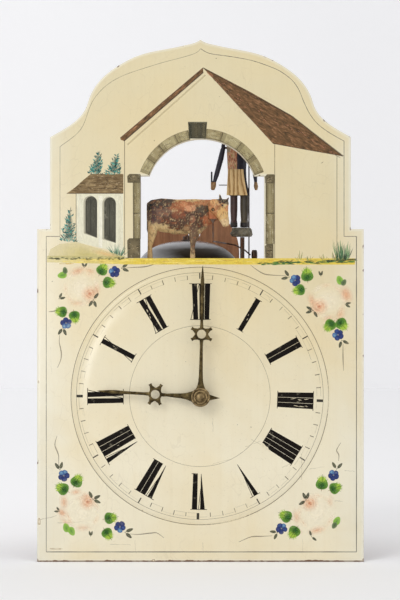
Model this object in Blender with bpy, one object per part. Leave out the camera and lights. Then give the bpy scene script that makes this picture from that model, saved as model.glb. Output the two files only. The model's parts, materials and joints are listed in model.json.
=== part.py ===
"""Shield clock with a painted board, a striking movement and an ox and butcher behind an arch.

Metres, +Z up, the dial faces -Y. The origin lies on the wall, on the axis of the hands.
"""

import math

import bmesh
import bpy
from mathutils import Matrix, Vector
from mathutils.geometry import interpolate_bezier

# Gaps
CLEARANCE = 0.0004
RUNNING_GAP = 0.00035

# Depths, from the wall to the dial
BACK_BOARD_THICK = 0.010
PENDULUM_GAP = 0.015
PLATE_THICK = 0.008
STRIKE_BAY = 0.032
GOING_BAY = 0.040
MOTION_GAP = 0.014
SHIELD_THICK = 0.010
DIAL_RISE = 0.0024

# Shield
SHIELD_WIDTH = 0.290
SHIELD_HEIGHT = 0.4635
SHOULDER_INSET = 0.0115
SHIELD_BOTTOM_Z = -0.1468
SHOULDER_Z = 0.1486
CROWN_TIP_Z = SHIELD_BOTTOM_Z + SHIELD_HEIGHT
CROWN_CORNER_Z = CROWN_TIP_Z - 0.0865
CROWN_WAIST = (0.0998, CROWN_TIP_Z - 0.0555)
CROWN_BROW = (0.0643, CROWN_TIP_Z - 0.0182)
CROWN_NECK = (0.0150, CROWN_TIP_Z - 0.0052)
DIAL_RADIUS = 0.114
DIAL_FLAT_RADIUS = 0.096
HANDLE_SHARE = 0.36
HAND_HOLE_RADIUS = 0.0075
BATTEN_LENGTH = 0.220
BATTEN_HEIGHT = 0.012
BATTEN_THICK = 0.0115

# Arched opening
ARCH_X = 0.0013
ARCH_SILL_Z = 0.1224
ARCH_HALF_WIDTH = 0.0554
ARCH_SPRING_Z = 0.1956
ARCH_CENTRE_Z = 0.179
ARCH_RADIUS = 0.0494

# Movement frame
CASE_WIDTH = 0.120
CASE_PLATE_THICK = 0.010
CASE_HEADROOM = 0.0105
BOTTOM_PLATE_TOP_Z = -0.088
STRIP_WIDTH = 0.034
EAR_HEIGHT = 0.016
DOOR_THICK = 0.004
DOOR_PIN_RADIUS = 0.0010
DOOR_PIN_INSET = 0.0025
DOOR_FRONT_GAP = 0.001
BACK_BOARD_X = -0.006
BACK_BOARD_RADIUS = 0.0433
BACK_BOARD_TOP_Z = 0.1755
BACK_BOARD_BOTTOM_Z = -0.100
HANGING_HOLE_Z = 0.150
HANGING_HOLE_RADIUS = 0.006
CHAIN_SLOT = (0.010, 0.014)
CHAIN_SPREAD = 0.009

# Wheels
MODULE = 0.0007
HOUR_MODULE = 0.0009
WHEEL_THICK = 0.002
LEAVES = 6
GOING_GREAT_TEETH = 72
SECOND_TEETH = 68
ESCAPE_TEETH = 30
ESCAPE_RADIUS = 0.0155
ESCAPE_TOOTH = 0.003
CANNON_TEETH = 24
MOTION_TEETH = 48
MOTION_LEAVES = 8
HOUR_TEETH = 48
STRIKE_GREAT_TEETH = 78
LOCKING_TEETH = 54
WARNING_TEETH = 48
COUNT_LEAVES = 8
COUNT_TEETH = 48
LIFTING_PINS = 13
LIFTING_PIN_CIRCLE = 0.0215
LIFTING_PIN_LENGTH = 0.0035
STRIKE_GREAT_Z = -0.036
CHAIN_WHEEL_RADIUS = 0.009
CHAIN_SPIKE = 0.003
CHAIN_SPIKES = 12
CHAIN_WHEEL_WIDTH = 0.006
ARBOR_RADIUS = 0.002
PIVOT_RADIUS = 0.001
LANTERN_GAP = 0.006
LANTERN_FLANGE = 0.0012
LANTERN_CORE = 0.001
LANTERN_RIM = 0.9
TRUNDLE_SHARE = 0.155
TOOTH_TIP = 0.8
TOOTH_ROOT = 1.5
TOOTH_TIP_SHARE = 0.2
PLAIN_ROOT = 1.3
PLAIN_TIP_SHARE = 0.18
PLAIN_ROOT_SHARE = 0.42
RIM_MODULES = 2.5
HUB_WALL = 0.002
SPOKE_WIDTH = 0.003
PIVOT_LENGTH = 0.005
STUD_RADIUS = 0.0012
MOTION_CORE_WALL = 0.0006
LIFTING_PIN_RADIUS = 0.0008
COUNT_LANTERN_GAP = 0.0044
COUNT_RIM_WIDTH = 0.003
COUNT_RIM_HEIGHT = 0.0015
COUNT_SLOT_SHARE = 0.5
FLY_THICK = 0.0008
FLY_SPAN = 0.030
FLY_WIDTH = 0.008
ANCHOR_RISE = 0.005
ANCHOR_THICK = 0.004
PALLET_GAP = 0.0018
ANCHOR_ARM = 0.0025

# Hands
CENTRE_ARBOR_RADIUS = 0.0025
PIPE_WALL = 0.001
HOUR_HAND_LIFT = 0.006
HAND_THICK = 0.0012
HAND_SPACING = 0.0038
MINUTE_HAND_LENGTH = 0.1165
MINUTE_STAR_OUT = 0.0556
MINUTE_HAND_TURN = math.radians(-1.0)
HOUR_HAND_LENGTH = 0.092
HOUR_STAR_OUT = 0.040
HOUR_TAIL_LENGTH = 0.0173
HOUR_HAND_TURN = math.radians(86.6)
STAR_RADIUS = 0.0102
STAR_RING_RADIUS = 0.0059
STAR_HOLE_RADIUS = 0.0041
COLLET_RADIUS = 0.0084
COLLET_HEIGHT = 0.0035
HAND_BOSS = 0.0078
HAND_SHAFT = 0.0012
HAND_POINT = 0.006

# Pendulum
PENDULUM_LENGTH = 0.1934
BOB_RADIUS = 0.019
BOB_THICK = 0.008
ROD_WIDTH = 0.0022
HOOK_RADIUS = 0.001
CRUTCH_LENGTH = 0.055
CRUTCH_THICK = 0.0015
FORK_WIDTH = 0.0035
FORK_WIRE = 0.0006
PENDULUM_NOTCH = 0.030

# Bell and hammer
BELL_X = -0.0117
BELL_Y = -0.061
BELL_RADIUS = 0.0495
BELL_MOUTH_Z = 0.106
BELL_HEIGHT = 0.035
BELL_WALL = 0.0022
BELL_CURVE = 2.3
BELL_POST_RADIUS = 0.0025
HAMMER_X = 0.032
HAMMER_Z = 0.052
HAMMER_HEAD_X = 0.0504
HAMMER_HEAD_Z = 0.1278
HAMMER_HEAD_RADIUS = 0.0028
HAMMER_HEAD_HEIGHT = 0.009
HAMMER_WIRE_RADIUS = 0.0010
HAMMER_SLOT = 0.020
HAMMER_SLOT_WIDTH = 0.005
HAMMER_RING = 0.003
HAMMER_TAIL = (0.0168, -0.0145)
HAMMER_TAIL_WIDTH = 0.003
PULL_ARM_THICK = 0.0022

# Ox
OX_Y = -0.1205
OX_BACK_Z = 0.1775
OX_PIVOT = (0.0113, 0.1666)
OX_PIN_RADIUS = 0.0012
SHELF_DROP = 0.0034
SHELF_THICK = 0.003
SHELF_DEPTH = 0.0225
SHELF_LENGTH = 0.100
SHELF_X = -0.012
OX_HEAD_Y = -0.1258
OX_LEVER_DROP = 0.029
LEVER_THICK = 0.0012
OX_HEAD_HALF = 0.0037
OX_NECK_OFFSET = 0.0024
OX_RUMP_X = -0.0484
OX_HIND_LEG_X = -0.0455
OX_FORE_LEG_X = -0.007
OX_LEG_SPREAD = 0.004
LINK_RADIUS = 0.0007

# Butcher
POST_X = 0.0384
FIGURE_X = 0.0335
FIGURE_Y = -0.0915
POST_RADIUS = 0.002
PLATFORM_Z = 0.1436
PLATFORM_HEIGHT = 0.0083
PLATFORM_LENGTH = 0.022
PLATFORM_DEPTH = 0.0135
PLATFORM_X = 0.0377
ARMS_Y = -0.086
ARMS_Z = 0.2255
ARMS_ARBOR_RADIUS = 0.001
CRANK_RADIUS = 0.0026
PULL_WIRE_X = 0.0447
PULL_WIRE_RADIUS = 0.0006

# Places worked out from the sizes
BACK_FRONT_Y = -BACK_BOARD_THICK
REAR_BACK_Y = BACK_FRONT_Y - PENDULUM_GAP
REAR_FRONT_Y = REAR_BACK_Y - PLATE_THICK
MIDDLE_BACK_Y = REAR_FRONT_Y - STRIKE_BAY
MIDDLE_FRONT_Y = MIDDLE_BACK_Y - PLATE_THICK
FRONT_BACK_Y = MIDDLE_FRONT_Y - GOING_BAY
FRONT_FRONT_Y = FRONT_BACK_Y - PLATE_THICK
SHIELD_BACK_Y = FRONT_FRONT_Y - MOTION_GAP
SHIELD_FRONT_Y = SHIELD_BACK_Y - SHIELD_THICK
DIAL_FRONT_Y = SHIELD_FRONT_Y - DIAL_RISE


def pitch_radius(teeth, module=MODULE):
    return teeth * module / 2


def going_y(share):
    """A place in the going train's bay, from its front plate (0) to the middle plate (1)."""
    return FRONT_BACK_Y + share * GOING_BAY


def strike_y(share):
    """A place in the strike train's bay, from the middle plate (0) to the rear plate (1)."""
    return MIDDLE_BACK_Y + share * STRIKE_BAY


SECOND_Z = pitch_radius(GOING_GREAT_TEETH + LEAVES)
ESCAPE_Z = SECOND_Z + pitch_radius(SECOND_TEETH + LEAVES)
ANCHOR_Z = ESCAPE_Z + ESCAPE_RADIUS + ANCHOR_RISE
LOCKING_Z = STRIKE_GREAT_Z + pitch_radius(STRIKE_GREAT_TEETH + LEAVES)
WARNING_Z = LOCKING_Z + pitch_radius(LOCKING_TEETH + LEAVES)
FLY_Z = WARNING_Z + pitch_radius(WARNING_TEETH + LEAVES)
MOTION_Z = -pitch_radius(MOTION_LEAVES + HOUR_TEETH, HOUR_MODULE)
CANNON_MODULE = -2 * MOTION_Z / (CANNON_TEETH + MOTION_TEETH)
COUNT_X = pitch_radius(COUNT_TEETH + COUNT_LEAVES)

# Tooth shapes: tip and root in modules, then their shares of the pitch
LANTERN_TEETH = (TOOTH_TIP, TOOTH_ROOT, TOOTH_TIP_SHARE, 1)
PLAIN_TEETH = (TOOTH_TIP, PLAIN_ROOT, PLAIN_TIP_SHARE, PLAIN_ROOT_SHARE)

TOP_PLATE_Z = ANCHOR_Z + CASE_HEADROOM
TOP_PLATE_TOP_Z = TOP_PLATE_Z + CASE_PLATE_THICK
BOTTOM_PLATE_Z = BOTTOM_PLATE_TOP_Z - CASE_PLATE_THICK
CASE_HALF = CASE_WIDTH / 2
CASE_FRONT_Y = SHIELD_BACK_Y + CLEARANCE
CASE_BACK_Y = BACK_FRONT_Y - CLEARANCE
DOOR_AXIS_X = CASE_HALF - DOOR_THICK / 2 - CLEARANCE
DOOR_AXIS_Y = CASE_BACK_Y - DOOR_PIN_INSET - DOOR_THICK / 2

GREAT_Y = going_y(0.15)
ESCAPE_Y = going_y(0.45)
SECOND_Y = going_y(0.76)
GOING_CHAIN_Y = going_y(0.44)
STRIKE_Y = strike_y(0.19)
WARNING_Y = strike_y(0.40)
LOCKING_Y = strike_y(0.60)
STRIKE_CHAIN_Y = strike_y(0.79)
FLY_VANE_Y = strike_y(0.76)
COUNT_Y = REAR_BACK_Y + 0.27 * PENDULUM_GAP
ROD_Y = BACK_FRONT_Y - 0.30 * PENDULUM_GAP
CRUTCH_Y = ROD_Y - 0.30 * PENDULUM_GAP
CANNON_Y = FRONT_FRONT_Y - 0.19 * MOTION_GAP
HOUR_WHEEL_Y = FRONT_FRONT_Y - 0.52 * MOTION_GAP

MINUTE_PIPE_BORE = CENTRE_ARBOR_RADIUS + RUNNING_GAP
MINUTE_PIPE_RADIUS = MINUTE_PIPE_BORE + PIPE_WALL
HOUR_PIPE_BORE = MINUTE_PIPE_RADIUS + RUNNING_GAP
HOUR_PIPE_RADIUS = HOUR_PIPE_BORE + PIPE_WALL
HOUR_HAND_Y = DIAL_FRONT_Y - HOUR_HAND_LIFT
MINUTE_HAND_Y = HOUR_HAND_Y - HAND_SPACING
COLLET_Y = MINUTE_HAND_Y - HAND_THICK - CLEARANCE
ARBOR_TIP_Y = COLLET_Y - COLLET_HEIGHT / 2

SHELF_TOP_Z = ARCH_SILL_Z - SHELF_DROP
PLATFORM_TOP_Z = PLATFORM_Z + PLATFORM_HEIGHT
WIRE_Y = ARMS_Y + CRANK_RADIUS
PULL_ARM = PULL_WIRE_X - HAMMER_X
WIRE_FOOT_Z = HAMMER_Z - 0.004
BOB_Z = ANCHOR_Z - PENDULUM_LENGTH

# Finishes: colour, roughness, metallic
FINISHES = {
    "lacquer": ((0.76, 0.66, 0.44), 0.35, 0.0),
    "beech": ((0.33, 0.19, 0.09), 0.6, 0.0),
    "stained": ((0.26, 0.11, 0.05), 0.65, 0.0),
    "brass": ((0.50, 0.36, 0.13), 0.35, 1.0),
    "dark_brass": ((0.13, 0.09, 0.04), 0.4, 1.0),
    "iron": ((0.05, 0.045, 0.04), 0.5, 0.9),
    "steel": ((0.30, 0.30, 0.31), 0.35, 1.0),
    "hide": ((0.42, 0.24, 0.12), 0.7, 0.0),
    "coat": ((0.03, 0.03, 0.05), 0.7, 0.0),
    "linen": ((0.60, 0.43, 0.18), 0.7, 0.0),
    "skin": ((0.62, 0.38, 0.24), 0.6, 0.0),
    "stone": ((0.28, 0.25, 0.17), 0.8, 0.0),
}
SHARP_ANGLE = math.radians(35)
MERGE_DISTANCE = 1e-7
FULL_TURN = 2 * math.pi

# Maps a drawing (u, v) and its height w onto the axis that the shape runs along
AXIS_FRAMES = {
    "X": Matrix(((0, 0, 1), (1, 0, 0), (0, 1, 0))).to_4x4(),
    "Y": Matrix(((1, 0, 0), (0, 0, 1), (0, 1, 0))).to_4x4(),
    "Z": Matrix.Identity(4),
}


def solid(bm):
    """A new object from the mesh, welded and with its faces pointing out."""
    bmesh.ops.remove_doubles(bm, verts=bm.verts, dist=MERGE_DISTANCE)
    bmesh.ops.recalc_face_normals(bm, faces=bm.faces)
    mesh = bpy.data.meshes.new("piece")
    bm.to_mesh(mesh)
    bm.free()
    obj = bpy.data.objects.new("piece", mesh)
    bpy.context.collection.objects.link(obj)
    return obj


def prism(loops, start, end, axis="Y"):
    """Outlines, with any holes inside them, drawn across the axis and carried along it."""
    bm = bmesh.new()
    edges = []
    for loop in loops:
        verts = [bm.verts.new((u, v, start)) for u, v in loop]
        edges += [bm.edges.new((verts[i - 1], verts[i])) for i in range(len(verts))]
    bmesh.ops.triangle_fill(bm, use_beauty=True, edges=edges)
    extruded = bmesh.ops.extrude_face_region(bm, geom=list(bm.faces))
    moved = [item for item in extruded["geom"] if isinstance(item, bmesh.types.BMVert)]
    bmesh.ops.translate(bm, verts=moved, vec=(0, 0, end - start))
    bm.transform(AXIS_FRAMES[axis])
    return solid(bm)


def turned(profile, place, axis="Y", steps=12, ring=False):
    """A profile of (radius, place along the axis) spun round the axis through place."""
    bm = bmesh.new()
    verts = [bm.verts.new((radius, 0, along)) for radius, along in profile]
    edges = [bm.edges.new(pair) for pair in zip(verts, verts[1:])]
    if ring:
        edges.append(bm.edges.new((verts[-1], verts[0])))
    bmesh.ops.spin(
        bm, geom=verts + edges, cent=(0, 0, 0), axis=(0, 0, 1),
        angle=FULL_TURN, steps=steps, use_merge=True,
    )
    bm.transform(AXIS_FRAMES[axis] @ Matrix.Translation((*place, 0)))
    return solid(bm)


def rod(radius, start, end, place, axis="Y", steps=10):
    return turned([(0, start), (radius, start), (radius, end), (0, end)], place, axis, steps)


def box(xs, ys, zs):
    corners = [(xs[0], ys[0]), (xs[1], ys[0]), (xs[1], ys[1]), (xs[0], ys[1])]
    return prism([corners], *zs, axis="Z")


def tube(points, radius, resolution=1):
    """A round wire along the points, as a mesh."""
    curve = bpy.data.curves.new("route", "CURVE")
    curve.dimensions = "3D"
    spline = curve.splines.new("POLY")
    spline.points.add(len(points) - 1)
    for point, place in zip(spline.points, points):
        point.co = (*place, 1)
    curve.bevel_depth = radius
    curve.bevel_resolution = resolution
    curve.use_fill_caps = True
    guide = bpy.data.objects.new("route", curve)
    bpy.context.collection.objects.link(guide)
    graph = bpy.context.evaluated_depsgraph_get()
    bm = bmesh.new()
    bm.from_mesh(bpy.data.meshes.new_from_object(guide.evaluated_get(graph)))
    bpy.data.objects.remove(guide)
    return solid(bm)


def skin(loops):
    """A closed surface over rings of points, with a cap at each end."""
    bm = bmesh.new()
    rings = [[bm.verts.new(point) for point in loop] for loop in loops]
    for lower, upper in zip(rings, rings[1:]):
        for i in range(len(lower)):
            bm.faces.new((lower[i - 1], lower[i], upper[i], upper[i - 1]))
    bm.faces.new(rings[0])
    bm.faces.new(rings[-1])
    return solid(bm)


def loft(stations, axis="Z", sides=10):
    """Ellipses (place along the axis, centre u, v, half size u, v) skinned into one solid."""
    angles = [FULL_TURN * i / sides for i in range(sides)]
    loops = []
    for along, u, v, half_u, half_v in stations:
        ring = [Vector((u + half_u * math.cos(a), v + half_v * math.sin(a), along)) for a in angles]
        loops.append([AXIS_FRAMES[axis] @ point for point in ring])
    return skin(loops)


def combine(target, tool, operation):
    modifier = target.modifiers.new("combine", "BOOLEAN")
    modifier.operation = operation
    modifier.solver = "EXACT"
    modifier.object = tool
    graph = bpy.context.evaluated_depsgraph_get()
    target.data = bpy.data.meshes.new_from_object(target.evaluated_get(graph))
    target.modifiers.clear()
    bpy.data.objects.remove(tool)
    return target


def fuse(target, *tools):
    for tool in tools:
        combine(target, tool, "UNION")
    return target


def cut(target, *tools):
    for tool in tools:
        combine(target, tool, "DIFFERENCE")
    return target


def node(obj, name, finish, pivot=(0, 0, 0)):
    """Names the finished piece, gives it its material and puts its origin on its joint."""
    obj.name = name
    obj.data.name = name
    obj.data.transform(Matrix.Translation(-Vector(pivot)))
    obj.location = pivot
    colour, roughness, metallic = FINISHES[finish]
    material = bpy.data.materials.new(f"{name}_finish")
    material.use_nodes = True
    shader = material.node_tree.nodes["Principled BSDF"]
    shader.inputs["Base Color"].default_value = (*colour, 1)
    shader.inputs["Roughness"].default_value = roughness
    shader.inputs["Metallic"].default_value = metallic
    obj.data.materials.clear()
    obj.data.materials.append(material)
    obj.data.shade_smooth()
    obj.data.set_sharp_from_angle(angle=SHARP_ANGLE)
    return obj


def polar(centre, radius, angle):
    return (centre[0] + radius * math.cos(angle), centre[1] + radius * math.sin(angle))


def arc(centre, radius, start, end, steps):
    """Points on an arc, angles in radians, both ends included."""
    return [polar(centre, radius, start + (end - start) * i / steps) for i in range(steps + 1)]


def circle(centre, radius, sides=12):
    return arc(centre, radius, 0, FULL_TURN, sides)[:-1]


def rectangle(centre, width, height):
    u, v = width / 2, height / 2
    x, y = centre
    return [(x - u, y - v), (x + u, y - v), (x + u, y + v), (x - u, y + v)]


def bar(start, end, start_radius, end_radius, steps=6):
    """The outline of a lever: two round ends and the straight edges between them."""
    heading = math.atan2(end[1] - start[1], end[0] - start[0])
    reach = math.dist(start, end)
    lean = math.acos((start_radius - end_radius) / reach)
    far = arc(end, end_radius, heading - lean, heading + lean, steps)
    near = arc(start, start_radius, heading + lean, heading + FULL_TURN - lean, steps)
    return far + near


def gear(centre, teeth, module, gap_angle, addendum, dedendum, tip_share, root_share):
    """A wheel's toothed outline, with the middle of one gap at gap_angle."""
    radius = pitch_radius(teeth, module)
    pitch = FULL_TURN / teeth
    points = []
    for i in range(teeth):
        middle = gap_angle + (i + 0.5) * pitch
        points.append(polar(centre, radius - dedendum * module, middle - pitch * root_share / 2))
        points.append(polar(centre, radius + addendum * module, middle - pitch * tip_share / 2))
        points.append(polar(centre, radius + addendum * module, middle + pitch * tip_share / 2))
        if root_share < 1:
            points.append(polar(centre, radius - dedendum * module, middle + pitch * root_share / 2))
    return points


def spoke_openings(centre, inner, outer, count, spoke_width):
    """The openings between a wheel's spokes."""
    openings = []
    for i in range(count):
        start = FULL_TURN * i / count
        end = FULL_TURN * (i + 1) / count
        inner_lean = math.asin(spoke_width / 2 / inner)
        outer_lean = math.asin(spoke_width / 2 / outer)
        near = arc(centre, inner, end - inner_lean, start + inner_lean, 2)
        far = arc(centre, outer, start + outer_lean, end - outer_lean, 4)
        openings.append(near + far)
    return openings


def train_wheel(place, y, teeth, gap_angle, bore, spokes=4, rim=None):
    """A spoked wheel that runs with a lantern pinion. The rim's inner radius can be given."""
    outline = gear(place, teeth, MODULE, gap_angle, *LANTERN_TEETH)
    if rim is None:
        rim = pitch_radius(teeth) - (TOOTH_ROOT + RIM_MODULES) * MODULE
    openings = spoke_openings(place, bore + HUB_WALL, rim, spokes, SPOKE_WIDTH)
    loops = [outline, circle(place, bore)] + openings
    return prism(loops, y - WHEEL_THICK / 2, y + WHEEL_THICK / 2)


def trundles(place, start, end, leaves, module, facing):
    """The wires of a lantern pinion, one of them facing the wheel that it runs with."""
    radius = pitch_radius(leaves, module)
    angles = [facing + FULL_TURN * i / leaves for i in range(leaves)]
    wires = [circle(polar(place, radius, a), TRUNDLE_SHARE * math.pi * module, 6) for a in angles]
    return prism(wires, start - LANTERN_FLANGE / 2, end + LANTERN_FLANGE / 2)


def lantern_profile(y, leaves, module, gap=None):
    """The two discs and thin core of a lantern pinion, as a stretch of an arbor's profile."""
    half = (gap or LANTERN_GAP) / 2
    disc = pitch_radius(leaves, module) + LANTERN_RIM * module
    return [
        (ARBOR_RADIUS, y - half - LANTERN_FLANGE),
        (disc, y - half - LANTERN_FLANGE),
        (disc, y - half),
        (LANTERN_CORE, y - half),
        (LANTERN_CORE, y + half),
        (disc, y + half),
        (disc, y + half + LANTERN_FLANGE),
        (ARBOR_RADIUS, y + half + LANTERN_FLANGE),
    ]


def pivot_ends(front, back):
    """The thin pivots that run in the plates at the two ends of an arbor."""
    start = [
        (0, front - PIVOT_LENGTH),
        (PIVOT_RADIUS, front - PIVOT_LENGTH),
        (PIVOT_RADIUS, front + CLEARANCE),
        (ARBOR_RADIUS, front + CLEARANCE),
    ]
    return start, [(radius, front + back - y) for radius, y in reversed(start)]


def lantern_arbor(place, front, back, y, facing):
    """An arbor between two plates with a lantern pinion, one trundle facing its wheel."""
    start, end = pivot_ends(front, back)
    arbor = turned(start + lantern_profile(y, LEAVES, MODULE) + end, place, steps=10)
    half = LANTERN_GAP / 2
    return fuse(arbor, trundles(place, y - half, y + half, LEAVES, MODULE, facing))


def chain_wheel(place, y):
    """A spiked wheel that the chain hangs over."""
    bore = ARBOR_RADIUS + CLEARANCE
    half = CHAIN_WHEEL_WIDTH / 2
    rim = [(bore, y - half), (CHAIN_WHEEL_RADIUS, y - half), (CHAIN_WHEEL_RADIUS, y + half), (bore, y + half)]
    spikes = []
    for i in range(CHAIN_SPIKES):
        middle = FULL_TURN * i / CHAIN_SPIKES
        lean = FULL_TURN / CHAIN_SPIKES / 4
        spikes.append(polar(place, CHAIN_WHEEL_RADIUS - CHAIN_SPIKE / 3, middle - lean))
        spikes.append(polar(place, CHAIN_WHEEL_RADIUS + CHAIN_SPIKE, middle))
        spikes.append(polar(place, CHAIN_WHEEL_RADIUS - CHAIN_SPIKE / 3, middle + lean))
    star = prism([spikes, circle(place, CHAIN_WHEEL_RADIUS - CHAIN_SPIKE)], y - half / 3, y + half / 3)
    return fuse(turned(rim, place, steps=24, ring=True), star)


def curve_run(start, start_heading, end, end_heading, steps):
    """A smooth run between two points of an outline, headings in degrees from +X."""
    reach = math.dist(start, end) * HANDLE_SHARE
    near = polar(start, reach, math.radians(start_heading))
    far = polar(end, -reach, math.radians(end_heading))
    points = interpolate_bezier(*(Vector((*p, 0)) for p in (start, near, far, end)), steps + 1)
    return [(point.x, point.y) for point in points]


def shield_outline():
    """Right edge from the foot to the tip, then the same mirrored down the left."""
    half = SHIELD_WIDTH / 2
    upper = half - SHOULDER_INSET
    corner = (upper, CROWN_CORNER_Z)
    right = [(half, SHIELD_BOTTOM_Z), (half, SHOULDER_Z), (upper, SHOULDER_Z)]
    right += curve_run(corner, 150, CROWN_WAIST, 105, 5)
    right += curve_run(CROWN_WAIST, 105, CROWN_BROW, 152, 7)[1:]
    right += curve_run(CROWN_BROW, 152, CROWN_NECK, 166, 4)[1:]
    right += curve_run(CROWN_NECK, 166, (0, CROWN_TIP_Z), 142, 3)[1:]
    return right + [(-x, z) for x, z in reversed(right[:-1])]


def arch_outline():
    rise = math.asin((ARCH_SPRING_Z - ARCH_CENTRE_Z) / ARCH_RADIUS)
    jamb = [
        (ARCH_X - ARCH_HALF_WIDTH, ARCH_SPRING_Z),
        (ARCH_X - ARCH_HALF_WIDTH, ARCH_SILL_Z),
        (ARCH_X + ARCH_HALF_WIDTH, ARCH_SILL_Z),
        (ARCH_X + ARCH_HALF_WIDTH, ARCH_SPRING_Z),
    ]
    return jamb + arc((ARCH_X, ARCH_CENTRE_Z), ARCH_RADIUS, rise, math.pi - rise, 20)


def build_shield():
    board = prism([shield_outline(), arch_outline()], SHIELD_FRONT_Y, SHIELD_BACK_Y)
    inside = SHIELD_FRONT_Y + SHIELD_THICK / 2
    swell = DIAL_RADIUS - DIAL_FLAT_RADIUS
    dial = [(0, inside), (DIAL_RADIUS, inside), (DIAL_RADIUS, SHIELD_FRONT_Y)]
    for angle in (30, 60, 90):
        lean = math.radians(angle)
        dial.append((DIAL_RADIUS - swell * (1 - math.cos(lean)), SHIELD_FRONT_Y - DIAL_RISE * math.sin(lean)))
    dial.append((0, DIAL_FRONT_Y))
    fuse(board, turned(dial, (0, 0), steps=64))
    bore = rod(HAND_HOLE_RADIUS, DIAL_FRONT_Y - SHIELD_THICK, SHIELD_BACK_Y + SHIELD_THICK, (0, 0), steps=20)
    node(cut(board, bore), "shield_board", "lacquer")
    depth = (CASE_FRONT_Y, CASE_FRONT_Y + BATTEN_THICK)
    for name, low in (
        ("upper_batten", TOP_PLATE_TOP_Z + CLEARANCE),
        ("lower_batten", BOTTOM_PLATE_Z - CLEARANCE - BATTEN_HEIGHT),
    ):
        batten = box((-BATTEN_LENGTH / 2, BATTEN_LENGTH / 2), depth, (low, low + BATTEN_HEIGHT))
        node(batten, name, "beech")


def strip_outline(ears):
    """A plate's upright strip, with an ear on its right for each (reach, height) given."""
    half = STRIP_WIDTH / 2
    low, high = BOTTOM_PLATE_TOP_Z + CLEARANCE, TOP_PLATE_Z - CLEARANCE
    points = [(-half, low), (half, low)]
    for reach, height in ears:
        points += [
            (half, height - EAR_HEIGHT),
            (reach + EAR_HEIGHT / 2, height - EAR_HEIGHT / 2),
            (reach + EAR_HEIGHT / 2, height + EAR_HEIGHT / 2),
            (half, height + EAR_HEIGHT),
        ]
    return points + [(half, high), (-half, high)]


def build_plates():
    pivot = PIVOT_RADIUS + RUNNING_GAP
    through = ARBOR_RADIUS + RUNNING_GAP
    going = [circle((0, z), pivot, 8) for z in (SECOND_Z, ESCAPE_Z, ANCHOR_Z)]
    centre = circle((0, 0), CENTRE_ARBOR_RADIUS + RUNNING_GAP)
    stud = circle((0, MOTION_Z), STUD_RADIUS + RUNNING_GAP, 8)
    front = prism([strip_outline(()), centre, stud] + going, FRONT_FRONT_Y, FRONT_BACK_Y)
    node(front, "front_plate", "beech")

    strike = [circle((0, z), pivot, 8) for z in (STRIKE_GREAT_Z, LOCKING_Z, WARNING_Z, FLY_Z)]
    shared = [circle((0, z), pivot, 8) for z in (0, SECOND_Z, ESCAPE_Z)]
    hammer = circle((HAMMER_X, HAMMER_Z), through)
    anchor = circle((0, ANCHOR_Z), through)
    ear = strip_outline([(HAMMER_X, HAMMER_Z)])
    middle = prism([ear, hammer, anchor] + shared + strike, MIDDLE_FRONT_Y, MIDDLE_BACK_Y)
    node(middle, "middle_plate", "beech")

    ears = strip_outline([(COUNT_X, STRIKE_GREAT_Z), (HAMMER_X, HAMMER_Z)])
    holes = [
        circle((HAMMER_X, HAMMER_Z), pivot, 8),
        circle((COUNT_X, STRIKE_GREAT_Z), STUD_RADIUS + RUNNING_GAP, 8),
        circle((0, STRIKE_GREAT_Z), through),
        anchor,
    ]
    rear = prism([ears] + holes + strike[1:], REAR_FRONT_Y, REAR_BACK_Y)
    node(rear, "rear_plate", "beech")


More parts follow.
